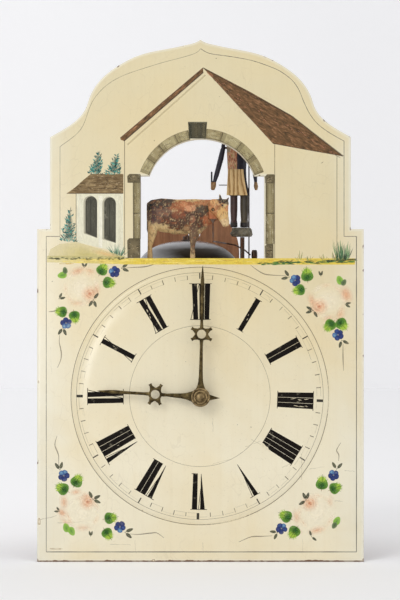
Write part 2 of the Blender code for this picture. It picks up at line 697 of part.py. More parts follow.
def build_case():
    middle_y = (CASE_FRONT_Y + CASE_BACK_Y) / 2
    footprint = rectangle((0, middle_y), CASE_WIDTH, CASE_BACK_Y - CASE_FRONT_Y)
    pin_holes = [
        circle((side * DOOR_AXIS_X, DOOR_AXIS_Y), DOOR_PIN_RADIUS + RUNNING_GAP, 8) for side in (-1, 1)
    ]
    slot_x = HAMMER_X + (HAMMER_HEAD_X - HAMMER_X) * (TOP_PLATE_Z - HAMMER_Z) / (HAMMER_HEAD_Z - HAMMER_Z)
    holes = [
        circle((BELL_X, BELL_Y), BELL_POST_RADIUS + RUNNING_GAP, 10),
        circle((POST_X, FIGURE_Y), POST_RADIUS + RUNNING_GAP, 10),
        circle((PULL_WIRE_X, WIRE_Y), PULL_WIRE_RADIUS + RUNNING_GAP, 8),
        rectangle((slot_x + HAMMER_SLOT / 4, BELL_Y), HAMMER_SLOT, HAMMER_SLOT_WIDTH),
    ]
    top = prism([footprint] + pin_holes + holes, TOP_PLATE_Z, TOP_PLATE_TOP_Z, "Z")
    node(top, "top_plate", "beech")

    left, right = -CASE_HALF, CASE_HALF
    notched = [
        (left, CASE_FRONT_Y), (right, CASE_FRONT_Y), (right, CASE_BACK_Y),
        (PENDULUM_NOTCH / 2, CASE_BACK_Y), (PENDULUM_NOTCH / 2, ROD_Y - PENDULUM_GAP / 3),
        (-PENDULUM_NOTCH / 2, ROD_Y - PENDULUM_GAP / 3), (-PENDULUM_NOTCH / 2, CASE_BACK_Y),
        (left, CASE_BACK_Y),
    ]
    slots = [
        rectangle((side * CHAIN_SPREAD, y), *CHAIN_SLOT)
        for side in (-1, 1) for y in (GOING_CHAIN_Y, STRIKE_CHAIN_Y)
    ]
    bottom = prism([notched] + pin_holes + slots, BOTTOM_PLATE_Z, BOTTOM_PLATE_TOP_Z, "Z")
    node(bottom, "bottom_plate", "beech")

    round_z = BACK_BOARD_TOP_Z - BACK_BOARD_RADIUS
    outline = [
        (BACK_BOARD_X - BACK_BOARD_RADIUS, BACK_BOARD_BOTTOM_Z),
        (BACK_BOARD_X + BACK_BOARD_RADIUS, BACK_BOARD_BOTTOM_Z),
    ]
    outline += arc((BACK_BOARD_X, round_z), BACK_BOARD_RADIUS, 0, math.pi, 24)
    hanging = circle((BACK_BOARD_X, HANGING_HOLE_Z), HANGING_HOLE_RADIUS, 16)
    hook = circle((0, ANCHOR_Z), HOOK_RADIUS + RUNNING_GAP, 8)
    node(prism([outline, hanging, hook], BACK_FRONT_Y, 0), "back_board", "stained")

    for side, name in ((-1, "left"), (1, "right")):
        build_door(side, name)


def build_door(side, name):
    """A side door between the top and bottom plates, on one long wire hinge pin."""
    axis = (side * DOOR_AXIS_X, DOOR_AXIS_Y)
    xs = (axis[0] - DOOR_THICK / 2, axis[0] + DOOR_THICK / 2)
    ys = (CASE_FRONT_Y + DOOR_FRONT_GAP, DOOR_AXIS_Y + DOOR_THICK / 2)
    zs = (BOTTOM_PLATE_TOP_Z + CLEARANCE, TOP_PLATE_Z - CLEARANCE)
    door = box(xs, ys, zs)
    overrun = CASE_PLATE_THICK
    bore = rod(DOOR_PIN_RADIUS + RUNNING_GAP, zs[0] - overrun, zs[1] + overrun, axis, "Z", 8)
    node(cut(door, bore), f"{name}_door", "beech", (*axis, 0))
    pin = rod(DOOR_PIN_RADIUS, BOTTOM_PLATE_Z - DOOR_PIN_RADIUS, TOP_PLATE_TOP_Z + DOOR_PIN_RADIUS, axis, "Z", 8)
    node(pin, f"{name}_door_pin", "iron", (*axis, 0))


def build_going_train():
    up, down = math.pi / 2, -math.pi / 2
    bore = ARBOR_RADIUS + CLEARANCE
    great = train_wheel((0, 0), GREAT_Y, GOING_GREAT_TEETH, up, bore)
    node(great, "going_great_wheel", "brass")
    node(chain_wheel((0, 0), GOING_CHAIN_Y), "going_chain_wheel", "brass")
    _, end = pivot_ends(FRONT_BACK_Y, MIDDLE_FRONT_Y)
    profile = [
        (0, ARBOR_TIP_Y),
        (CENTRE_ARBOR_RADIUS, ARBOR_TIP_Y),
        (CENTRE_ARBOR_RADIUS, GREAT_Y - WHEEL_THICK),
        (ARBOR_RADIUS, GREAT_Y - WHEEL_THICK),
    ]
    node(turned(profile + end, (0, 0)), "centre_arbor", "steel")

    second = train_wheel((0, SECOND_Z), SECOND_Y, SECOND_TEETH, up, bore)
    node(second, "second_wheel", "brass", (0, 0, SECOND_Z))
    arbor = lantern_arbor((0, SECOND_Z), FRONT_BACK_Y, MIDDLE_FRONT_Y, GREAT_Y, down)
    node(arbor, "second_arbor", "steel", (0, 0, SECOND_Z))

    teeth = []
    for i in range(ESCAPE_TEETH):
        pitch = FULL_TURN / ESCAPE_TEETH
        root = ESCAPE_RADIUS - ESCAPE_TOOTH
        teeth.append(polar((0, ESCAPE_Z), root, i * pitch))
        teeth.append(polar((0, ESCAPE_Z), ESCAPE_RADIUS, (i + 0.75) * pitch))
        teeth.append(polar((0, ESCAPE_Z), root, (i + 0.80) * pitch))
    rim = ESCAPE_RADIUS - ESCAPE_TOOTH - RIM_MODULES * MODULE
    openings = spoke_openings((0, ESCAPE_Z), bore + HUB_WALL, rim, 4, SPOKE_WIDTH)
    loops = [teeth, circle((0, ESCAPE_Z), bore)] + openings
    escape = prism(loops, ESCAPE_Y - WHEEL_THICK / 2, ESCAPE_Y + WHEEL_THICK / 2)
    node(escape, "escape_wheel", "brass", (0, 0, ESCAPE_Z))
    arbor = lantern_arbor((0, ESCAPE_Z), FRONT_BACK_Y, MIDDLE_FRONT_Y, SECOND_Y, down)
    node(arbor, "escape_arbor", "steel", (0, 0, ESCAPE_Z))


def build_pendulum():
    """Anchor, arbor, crutch, rod and bob, which swing together, and the hook that holds them."""
    pivot = (0, 0, ANCHOR_Z)
    bore = ARBOR_RADIUS + CLEARANCE
    inner = ESCAPE_RADIUS + PALLET_GAP
    spread = math.radians(50)
    outline = arc((0, ESCAPE_Z), inner, math.pi / 2 - spread, math.pi / 2 + spread, 8)
    for i in range(9):
        share = abs(i - 4) / 4
        rise = ANCHOR_ARM + (ANCHOR_Z + bore + HUB_WALL - ESCAPE_Z - inner - ANCHOR_ARM) * (1 - share)
        outline.append(polar((0, ESCAPE_Z), inner + rise, math.pi / 2 + spread * (1 - i / 4)))
    ys = (ESCAPE_Y - ANCHOR_THICK / 2, ESCAPE_Y + ANCHOR_THICK / 2)
    node(prism([outline, circle((0, ANCHOR_Z), bore)], *ys), "anchor", "steel", pivot)

    start, _ = pivot_ends(FRONT_BACK_Y, MIDDLE_FRONT_Y)
    end = [(ARBOR_RADIUS, CRUTCH_Y + CRUTCH_THICK / 2), (0, CRUTCH_Y + CRUTCH_THICK / 2)]
    arbor = turned(start + end, (0, ANCHOR_Z), steps=10)
    foot = (0, ANCHOR_Z - CRUTCH_LENGTH)
    strip = prism([bar((0, ANCHOR_Z), foot, bore + HUB_WALL, FORK_WIDTH)],
                  CRUTCH_Y - CRUTCH_THICK / 2, CRUTCH_Y + CRUTCH_THICK / 2)
    prong = ROD_WIDTH / 2 + FORK_WIRE + CLEARANCE
    prongs = prism([circle((side * prong, foot[1]), FORK_WIRE, 6) for side in (-1, 1)],
                   CRUTCH_Y, ROD_Y + ROD_WIDTH)
    node(fuse(arbor, strip, prongs), "anchor_arbor", "steel", pivot)

    eye = HOOK_RADIUS + CLEARANCE
    half = ROD_WIDTH / 2
    ring = eye + ROD_WIDTH
    lean = math.asin(half / ring)
    rod_foot = BOB_Z + BOB_RADIUS / 2
    outline = arc((0, ANCHOR_Z), ring, -math.pi / 2 + lean, 3 * math.pi / 2 - lean, 16)
    outline += [(-half, rod_foot), (half, rod_foot)]
    strip = prism([outline, circle((0, ANCHOR_Z), eye, 10)], ROD_Y - half, ROD_Y + half)
    node(strip, "pendulum_rod", "iron", pivot)

    edge = BOB_RADIUS * 0.15
    lens = [
        (0, ROD_Y - BOB_THICK / 2), (BOB_RADIUS * 0.6, ROD_Y - BOB_THICK * 0.38),
        (BOB_RADIUS, ROD_Y - edge / 2), (BOB_RADIUS, ROD_Y + edge / 2),
        (BOB_RADIUS * 0.6, ROD_Y + BOB_THICK * 0.38), (0, ROD_Y + BOB_THICK / 2),
    ]
    bob = turned(lens, (0, BOB_Z), steps=28)
    slot = half + CLEARANCE
    channel = box((-slot, slot), (ROD_Y - slot, ROD_Y + slot), (rod_foot - CLEARANCE, BOB_Z + 2 * BOB_RADIUS))
    node(cut(bob, channel), "pendulum_bob", "brass", pivot)

    head = ROD_Y - ROD_WIDTH
    profile = [
        (0, head - HOOK_RADIUS), (2 * HOOK_RADIUS, head - HOOK_RADIUS), (2 * HOOK_RADIUS, head),
        (HOOK_RADIUS, head), (HOOK_RADIUS, BACK_FRONT_Y / 2), (0, BACK_FRONT_Y / 2),
    ]
    node(turned(profile, (0, ANCHOR_Z), steps=10), "pendulum_hook", "iron")


def pipe(teeth, module, shape, y, bore, outer, tip_y):
    """A wheel with a long pipe that carries a hand, a gap between its teeth pointing down."""
    outline = gear((0, 0), teeth, module, -math.pi / 2, *shape)
    wheel = prism([outline, circle((0, 0), bore, 16)], y - WHEEL_THICK / 2, y + WHEEL_THICK / 2)
    back = y + WHEEL_THICK / 2
    wall = [(bore, tip_y), (outer, tip_y), (outer, back), (bore, back)]
    return fuse(turned(wall, (0, 0), steps=16, ring=True), wheel)


def build_motion_work():
    up = math.pi / 2
    place = (0, MOTION_Z)
    minute_tip = MINUTE_HAND_Y - HAND_THICK
    cannon = pipe(CANNON_TEETH, CANNON_MODULE, PLAIN_TEETH, CANNON_Y, MINUTE_PIPE_BORE, MINUTE_PIPE_RADIUS,
                  minute_tip)
    node(cannon, "cannon_wheel", "brass")
    hour = pipe(HOUR_TEETH, HOUR_MODULE, LANTERN_TEETH, HOUR_WHEEL_Y, HOUR_PIPE_BORE, HOUR_PIPE_RADIUS,
                HOUR_HAND_Y - HAND_THICK)
    node(hour, "hour_wheel", "brass")

    bore = STUD_RADIUS + RUNNING_GAP
    tooth_up = up + math.pi / MOTION_TEETH
    outline = gear(place, MOTION_TEETH, CANNON_MODULE, tooth_up, *PLAIN_TEETH)
    front, back = CANNON_Y - WHEEL_THICK / 2, CANNON_Y + WHEEL_THICK / 2
    wheel = prism([outline, circle(place, bore, 10)], front, back)
    disc_y = 2 * HOUR_WHEEL_Y - front
    disc = pitch_radius(MOTION_LEAVES, HOUR_MODULE) + LANTERN_RIM * HOUR_MODULE
    core = bore + MOTION_CORE_WALL
    profile = [
        (bore, disc_y - LANTERN_FLANGE), (disc, disc_y - LANTERN_FLANGE), (disc, disc_y),
        (core, disc_y), (core, back), (bore, back),
    ]
    wires = trundles(place, disc_y, front, MOTION_LEAVES, HOUR_MODULE, up)
    hub = fuse(turned(profile, place, steps=12, ring=True), wheel, wires)
    node(hub, "motion_wheel", "brass", (0, 0, MOTION_Z))

    head = disc_y - LANTERN_FLANGE - CLEARANCE
    profile = [
        (0, head - STUD_RADIUS / 2), (2 * STUD_RADIUS, head - STUD_RADIUS / 2), (2 * STUD_RADIUS, head),
        (STUD_RADIUS, head), (STUD_RADIUS, FRONT_BACK_Y - CLEARANCE), (0, FRONT_BACK_Y - CLEARANCE),
    ]
    node(turned(profile, place, steps=10), "motion_stud", "steel")


def hand_outline(length, star_out, tail):
    """Right edge of a hand that points up, from its tail to its tip, then the left edge."""
    star = (0, star_out)
    right = []
    if tail:
        right += [(0, -tail), (HAND_BOSS * 0.35, -HAND_BOSS * 0.94)]
    else:
        right += [(0, -HAND_BOSS)]
    right += arc((0, 0), HAND_BOSS, math.radians(-60), math.radians(40), 6)
    right += [(HAND_SHAFT * 2.6, HAND_BOSS * 1.5), (HAND_SHAFT, HAND_BOSS * 2.3)]
    for radius, angle in (
        (STAR_RING_RADIUS, -76), (STAR_RING_RADIUS, -48), (STAR_RADIUS, -30), (STAR_RING_RADIUS, -12),
        (STAR_RING_RADIUS, 12), (STAR_RADIUS, 30), (STAR_RING_RADIUS, 48), (STAR_RING_RADIUS, 76),
    ):
        right.append(polar(star, radius, math.radians(angle)))
    right += [(HAND_SHAFT, star_out + STAR_RADIUS), (HAND_SHAFT * 0.8, length - HAND_POINT)]
    return right + [(0, length)] + [(-x, z) for x, z in reversed(right[1:])]


def build_hand(name, length, star_out, tail, turn, y, bore):
    outline = hand_outline(length, star_out, tail)
    loops = [outline, circle((0, star_out), STAR_HOLE_RADIUS, 14), circle((0, 0), bore, 16)]
    hand = prism(loops, y - HAND_THICK, y)
    hand.data.transform(Matrix.Rotation(-turn, 4, "Y"))
    node(hand, name, "dark_brass")


def build_hands():
    build_hand("minute_hand", MINUTE_HAND_LENGTH, MINUTE_STAR_OUT, 0, MINUTE_HAND_TURN, MINUTE_HAND_Y,
               MINUTE_PIPE_RADIUS + CLEARANCE)
    build_hand("hour_hand", HOUR_HAND_LENGTH, HOUR_STAR_OUT, HOUR_TAIL_LENGTH, HOUR_HAND_TURN, HOUR_HAND_Y,
               HOUR_PIPE_RADIUS + CLEARANCE)
    bore = CENTRE_ARBOR_RADIUS + CLEARANCE
    top = COLLET_Y - COLLET_HEIGHT
    profile = [
        (0, ARBOR_TIP_Y - CLEARANCE), (bore, ARBOR_TIP_Y - CLEARANCE), (bore, COLLET_Y),
        (COLLET_RADIUS, COLLET_Y), (COLLET_RADIUS, COLLET_Y - COLLET_HEIGHT * 0.3),
        (COLLET_RADIUS * 0.75, COLLET_Y - COLLET_HEIGHT * 0.5),
        (COLLET_RADIUS * 0.5, COLLET_Y - COLLET_HEIGHT * 0.55),
        (COLLET_RADIUS * 0.42, top + COLLET_HEIGHT * 0.15), (0, top),
    ]
    node(turned(profile, (0, 0), steps=20), "hand_collet", "dark_brass")


def build_strike_train():
    up, down = math.pi / 2, -math.pi / 2
    bore = ARBOR_RADIUS + CLEARANCE
    place = (0, STRIKE_GREAT_Z)
    pivot = (0, 0, STRIKE_GREAT_Z)
    great = train_wheel(place, STRIKE_Y, STRIKE_GREAT_TEETH, up, bore,
                        rim=LIFTING_PIN_CIRCLE - 2 * LIFTING_PIN_RADIUS)
    angles = [FULL_TURN * (i + 0.5) / LIFTING_PINS for i in range(LIFTING_PINS)]
    pins = prism([circle(polar(place, LIFTING_PIN_CIRCLE, a), LIFTING_PIN_RADIUS, 6) for a in angles],
                 STRIKE_Y, STRIKE_Y + WHEEL_THICK / 2 + LIFTING_PIN_LENGTH)
    node(fuse(great, pins), "strike_great_wheel", "brass", pivot)
    node(chain_wheel(place, STRIKE_CHAIN_Y), "strike_chain_wheel", "brass", pivot)
    start, _ = pivot_ends(MIDDLE_BACK_Y, REAR_FRONT_Y)
    lantern = lantern_profile(COUNT_Y, COUNT_LEAVES, MODULE, COUNT_LANTERN_GAP)
    tip = lantern[-1][1]
    arbor = turned(start + lantern[:-1] + [(0, tip)], place, steps=10)
    half = COUNT_LANTERN_GAP / 2
    fuse(arbor, trundles(place, COUNT_Y - half, COUNT_Y + half, COUNT_LEAVES, MODULE, 0))
    node(arbor, "strike_arbor", "steel", pivot)

    for name, teeth, z, y, pinion_y in (
        ("locking", LOCKING_TEETH, LOCKING_Z, LOCKING_Y, STRIKE_Y),
        ("warning", WARNING_TEETH, WARNING_Z, WARNING_Y, LOCKING_Y),
    ):
        pivot = (0, 0, z)
        node(train_wheel((0, z), y, teeth, up, bore), f"{name}_wheel", "brass", pivot)
        arbor = lantern_arbor((0, z), MIDDLE_BACK_Y, REAR_FRONT_Y, pinion_y, down)
        node(arbor, f"{name}_arbor", "steel", pivot)

    fly = lantern_arbor((0, FLY_Z), MIDDLE_BACK_Y, REAR_FRONT_Y, WARNING_Y, down)
    vane = box((-FLY_SPAN / 2, FLY_SPAN / 2), (FLY_VANE_Y - FLY_WIDTH / 2, FLY_VANE_Y + FLY_WIDTH / 2),
               (FLY_Z - FLY_THICK / 2, FLY_Z + FLY_THICK / 2))
    node(fuse(fly, vane), "fly", "brass", (0, 0, FLY_Z))


def build_count_wheel():
    """The wheel whose rim of rising arcs counts the blows of each hour."""
    place = (COUNT_X, STRIKE_GREAT_Z)
    bore = STUD_RADIUS + RUNNING_GAP
    wheel = train_wheel(place, COUNT_Y, COUNT_TEETH, math.pi, bore, spokes=3)
    outer = pitch_radius(COUNT_TEETH) - (TOOTH_ROOT + RIM_MODULES / 2) * MODULE
    inner = outer - COUNT_RIM_WIDTH
    hours = range(1, 13)
    step = FULL_TURN / (sum(hours) + len(hours) * COUNT_SLOT_SHARE)
    angle = 0
    arcs = []
    for hour in hours:
        end = angle + hour * step
        arcs.append(arc(place, outer, angle, end, hour // 2 + 1) + arc(place, inner, end, angle, hour // 2 + 1))
        angle = end + COUNT_SLOT_SHARE * step
    front = COUNT_Y + WHEEL_THICK / 4
    rim = prism(arcs, front, COUNT_Y + WHEEL_THICK / 2 + COUNT_RIM_HEIGHT)
    node(fuse(wheel, rim), "count_wheel", "brass", (COUNT_X, 0, STRIKE_GREAT_Z))
    head = COUNT_Y + WHEEL_THICK / 2 + CLEARANCE
    profile = [
        (0, REAR_FRONT_Y + CLEARANCE), (STUD_RADIUS, REAR_FRONT_Y + CLEARANCE), (STUD_RADIUS, head),
        (2 * STUD_RADIUS, head), (2 * STUD_RADIUS, head + STUD_RADIUS / 2), (0, head + STUD_RADIUS / 2),
    ]
    node(turned(profile, place, steps=10), "count_stud", "steel")


def build_hammer():
    """The hammer's arbor with its tail and pull arm, and the wire and head that it carries."""
    place = (HAMMER_X, HAMMER_Z)
    pivot = (HAMMER_X, 0, HAMMER_Z)
    hub = ARBOR_RADIUS + HUB_WALL
    front = WIRE_Y - PULL_ARM_THICK
    back = REAR_FRONT_Y - CLEARANCE
    profile = [
        (0, front), (ARBOR_RADIUS, front), (ARBOR_RADIUS, back), (PIVOT_RADIUS, back),
        (PIVOT_RADIUS, back + PIVOT_LENGTH), (0, back + PIVOT_LENGTH),
    ]
    arbor = turned(profile, place, steps=12)
    tail_y = STRIKE_Y + WHEEL_THICK / 2 + LIFTING_PIN_LENGTH / 2
    tail = prism([bar(place, HAMMER_TAIL, hub, HAMMER_TAIL_WIDTH / 2)],
                 tail_y - PULL_ARM_THICK / 2, tail_y + PULL_ARM_THICK / 2)
    wire = (PULL_WIRE_X, HAMMER_Z)
    arm = prism([bar(place, wire, hub, PULL_WIRE_RADIUS * 5)], front, WIRE_Y + PULL_ARM_THICK)
    eye = rod(PULL_WIRE_RADIUS * 2, HAMMER_Z - hub, HAMMER_Z + hub, (PULL_WIRE_X, WIRE_Y), "Z", 8)
    node(cut(fuse(arbor, tail, arm), eye), "hammer_arbor", "iron", pivot)

    bore = ARBOR_RADIUS + CLEARANCE
    ring = prism([circle(place, bore + HUB_WALL), circle(place, bore)],
                 BELL_Y - HAMMER_RING / 2, BELL_Y + HAMMER_RING / 2)
    heading = math.atan2(HAMMER_HEAD_Z - HAMMER_Z, HAMMER_HEAD_X - HAMMER_X)
    foot = polar(place, bore + HUB_WALL / 2, heading)
    stem = tube([(foot[0], BELL_Y, foot[1]), (HAMMER_HEAD_X, BELL_Y, HAMMER_HEAD_Z)], HAMMER_WIRE_RADIUS)
    half = HAMMER_HEAD_HEIGHT / 2
    barrel = [
        (0, HAMMER_HEAD_Z - half), (HAMMER_HEAD_RADIUS * 0.75, HAMMER_HEAD_Z - half),
        (HAMMER_HEAD_RADIUS, HAMMER_HEAD_Z - half / 2), (HAMMER_HEAD_RADIUS, HAMMER_HEAD_Z + half / 2),
        (HAMMER_HEAD_RADIUS * 0.75, HAMMER_HEAD_Z + half), (0, HAMMER_HEAD_Z + half),
    ]
    head = turned(barrel, (HAMMER_HEAD_X, BELL_Y), "Z", 12)
    node(fuse(ring, stem, head), "hammer", "iron", pivot)


def bell_radius(radius, rise):
    """The bell's radius where its wall has risen by this share of its height."""
    return radius * (1 - rise**BELL_CURVE) ** (1 / BELL_CURVE)


def build_bell():
    crown = BELL_MOUTH_Z + BELL_HEIGHT
    hole = BELL_POST_RADIUS + CLEARANCE
    outside, inside = [], []
    for share in (0, 0.25, 0.45, 0.62, 0.77, 0.89, 0.96):
        outside.append((bell_radius(BELL_RADIUS, share), BELL_MOUTH_Z + share * BELL_HEIGHT))
        inside.append((bell_radius(BELL_RADIUS - BELL_WALL, share), BELL_MOUTH_Z + share * (BELL_HEIGHT - BELL_WALL)))
    profile = outside + [(hole, crown), (hole, crown - BELL_WALL)] + inside[::-1]
    node(turned(profile, (BELL_X, BELL_Y), "Z", 28, ring=True), "bell", "steel")

    shoulder = crown - BELL_WALL - CLEARANCE
    tip = crown + 2 * BELL_POST_RADIUS
    seat = TOP_PLATE_TOP_Z + CLEARANCE
    post = [
        (0, TOP_PLATE_Z), (BELL_POST_RADIUS, TOP_PLATE_Z), (BELL_POST_RADIUS, seat),
        (2.4 * BELL_POST_RADIUS, seat), (2.4 * BELL_POST_RADIUS, seat + BELL_POST_RADIUS),
        (BELL_POST_RADIUS, seat + 2 * BELL_POST_RADIUS), (BELL_POST_RADIUS, shoulder - BELL_POST_RADIUS),
        (2 * BELL_POST_RADIUS, shoulder), (BELL_POST_RADIUS, shoulder), (BELL_POST_RADIUS, tip), (0, tip),
    ]
    node(turned(post, (BELL_X, BELL_Y), "Z", 12), "bell_post", "iron")


def build_ox():
    shelf = box((SHELF_X - SHELF_LENGTH / 2, SHELF_X + SHELF_LENGTH / 2),
                (CASE_FRONT_Y, CASE_FRONT_Y + SHELF_DEPTH), (SHELF_TOP_Z - SHELF_THICK, SHELF_TOP_Z))
    node(shelf, "ox_shelf", "beech")

    neck_y = OX_Y + OX_NECK_OFFSET
    body = loft([
        (OX_RUMP_X, OX_Y, OX_BACK_Z - 0.0125, 0.0035, 0.0080),
        (OX_RUMP_X + 0.004, OX_Y, OX_BACK_Z - 0.0145, 0.0065, 0.0130),
        (OX_RUMP_X + 0.013, OX_Y, OX_BACK_Z - 0.0155, 0.0080, 0.0155),
        (OX_RUMP_X + 0.028, OX_Y, OX_BACK_Z - 0.0170, 0.0082, 0.0160),
        (OX_RUMP_X + 0.044, OX_Y, OX_BACK_Z - 0.0168, 0.0080, 0.0162),
        (OX_RUMP_X + 0.0505, OX_Y + OX_NECK_OFFSET / 2, OX_BACK_Z - 0.0155, 0.0058, 0.0145),
        (OX_RUMP_X + 0.0575, neck_y, OX_BACK_Z - 0.0125, 0.0034, 0.0115),
        (OX_RUMP_X + 0.0645, neck_y, OX_BACK_Z - 0.0108, 0.0030, 0.0088),
    ], axis="X", sides=14)
    foot = SHELF_TOP_Z + CLEARANCE
    tall = OX_BACK_Z - foot
    for leg_x, lean in ((OX_HIND_LEG_X, 0.0035), (OX_FORE_LEG_X, 0.001)):
        for side in (-1, 1):
            y = OX_Y + side * OX_LEG_SPREAD
            leg = loft([
                (foot, leg_x, y, 0.0030, 0.0021),
                (foot + 0.05 * tall, leg_x, y, 0.0026, 0.0019),
                (foot + 0.24 * tall, leg_x, y, 0.0021, 0.0018),
                (foot + 0.45 * tall, leg_x + lean * 0.6, y, 0.0042, 0.0027),
                (foot + 0.64 * tall, leg_x + lean, y, 0.0058, 0.0030),
            ], sides=8)
            fuse(body, leg)
    pin = rod(OX_PIN_RADIUS, OX_HEAD_Y - OX_HEAD_HALF, neck_y, OX_PIVOT, steps=8)
    node(fuse(body, pin), "ox_body", "hide")

    x, z = OX_PIVOT
    head = loft([
        (z - 0.0145, x + 0.0112, OX_HEAD_Y, 0.0028, 0.0026),
        (z - 0.0115, x + 0.0108, OX_HEAD_Y, 0.0040, 0.0034),
        (z - 0.0060, x + 0.0080, OX_HEAD_Y, 0.0060, OX_HEAD_HALF),
        (z + 0.0005, x + 0.0046, OX_HEAD_Y, 0.0092, OX_HEAD_HALF),
        (z + 0.0060, x + 0.0051, OX_HEAD_Y, 0.0092, OX_HEAD_HALF),
        (z + 0.0095, x + 0.0060, OX_HEAD_Y, 0.0075, 0.0032),
    ], sides=12)
    for tip_x, tip_z in ((x + 0.0060, z + 0.0140), (x + 0.0140, z + 0.0110)):
        ear = loft([
            (z + 0.0070, (tip_x + x + 0.0085) / 2, OX_HEAD_Y, 0.0022, 0.0018),
            (tip_z, tip_x, OX_HEAD_Y, 0.0006, 0.0006),
        ], sides=6)
        fuse(head, ear)
    lever_y = OX_HEAD_Y + OX_HEAD_HALF - LEVER_THICK * 2
    lever = prism([bar(OX_PIVOT, (x, z - OX_LEVER_DROP), 0.004, 0.0012)], lever_y, lever_y + LEVER_THICK)
    bore = rod(OX_PIN_RADIUS + RUNNING_GAP, OX_HEAD_Y - 0.02, OX_HEAD_Y + 0.02, OX_PIVOT, steps=8)
    node(cut(fuse(head, lever), bore), "ox_head", "hide", (x, 0, z))
    return lever_y + LEVER_THICK


def build_link(lever_back):
    """The wire from the hammer's head to the lever under the ox's head."""
    x, z = OX_PIVOT
    lever_foot = z - OX_LEVER_DROP + LINK_RADIUS
    head_side = HAMMER_HEAD_X - HAMMER_HEAD_RADIUS - CLEARANCE - LINK_RADIUS
    route = [
        (x, lever_back + CLEARANCE, lever_foot),
        (x + 0.002, FIGURE_Y - 0.010, lever_foot + 0.0005),
        (x + 0.013, FIGURE_Y + 0.012, lever_foot - 0.0005),
        (POST_X - 0.006, FIGURE_Y + 0.014, lever_foot - 0.002),
        (POST_X + 0.003, BELL_Y - 0.009, HAMMER_HEAD_Z + 0.004),
        (head_side, BELL_Y, HAMMER_HEAD_Z),
    ]
    node(tube(route, LINK_RADIUS), "ox_link", "iron")


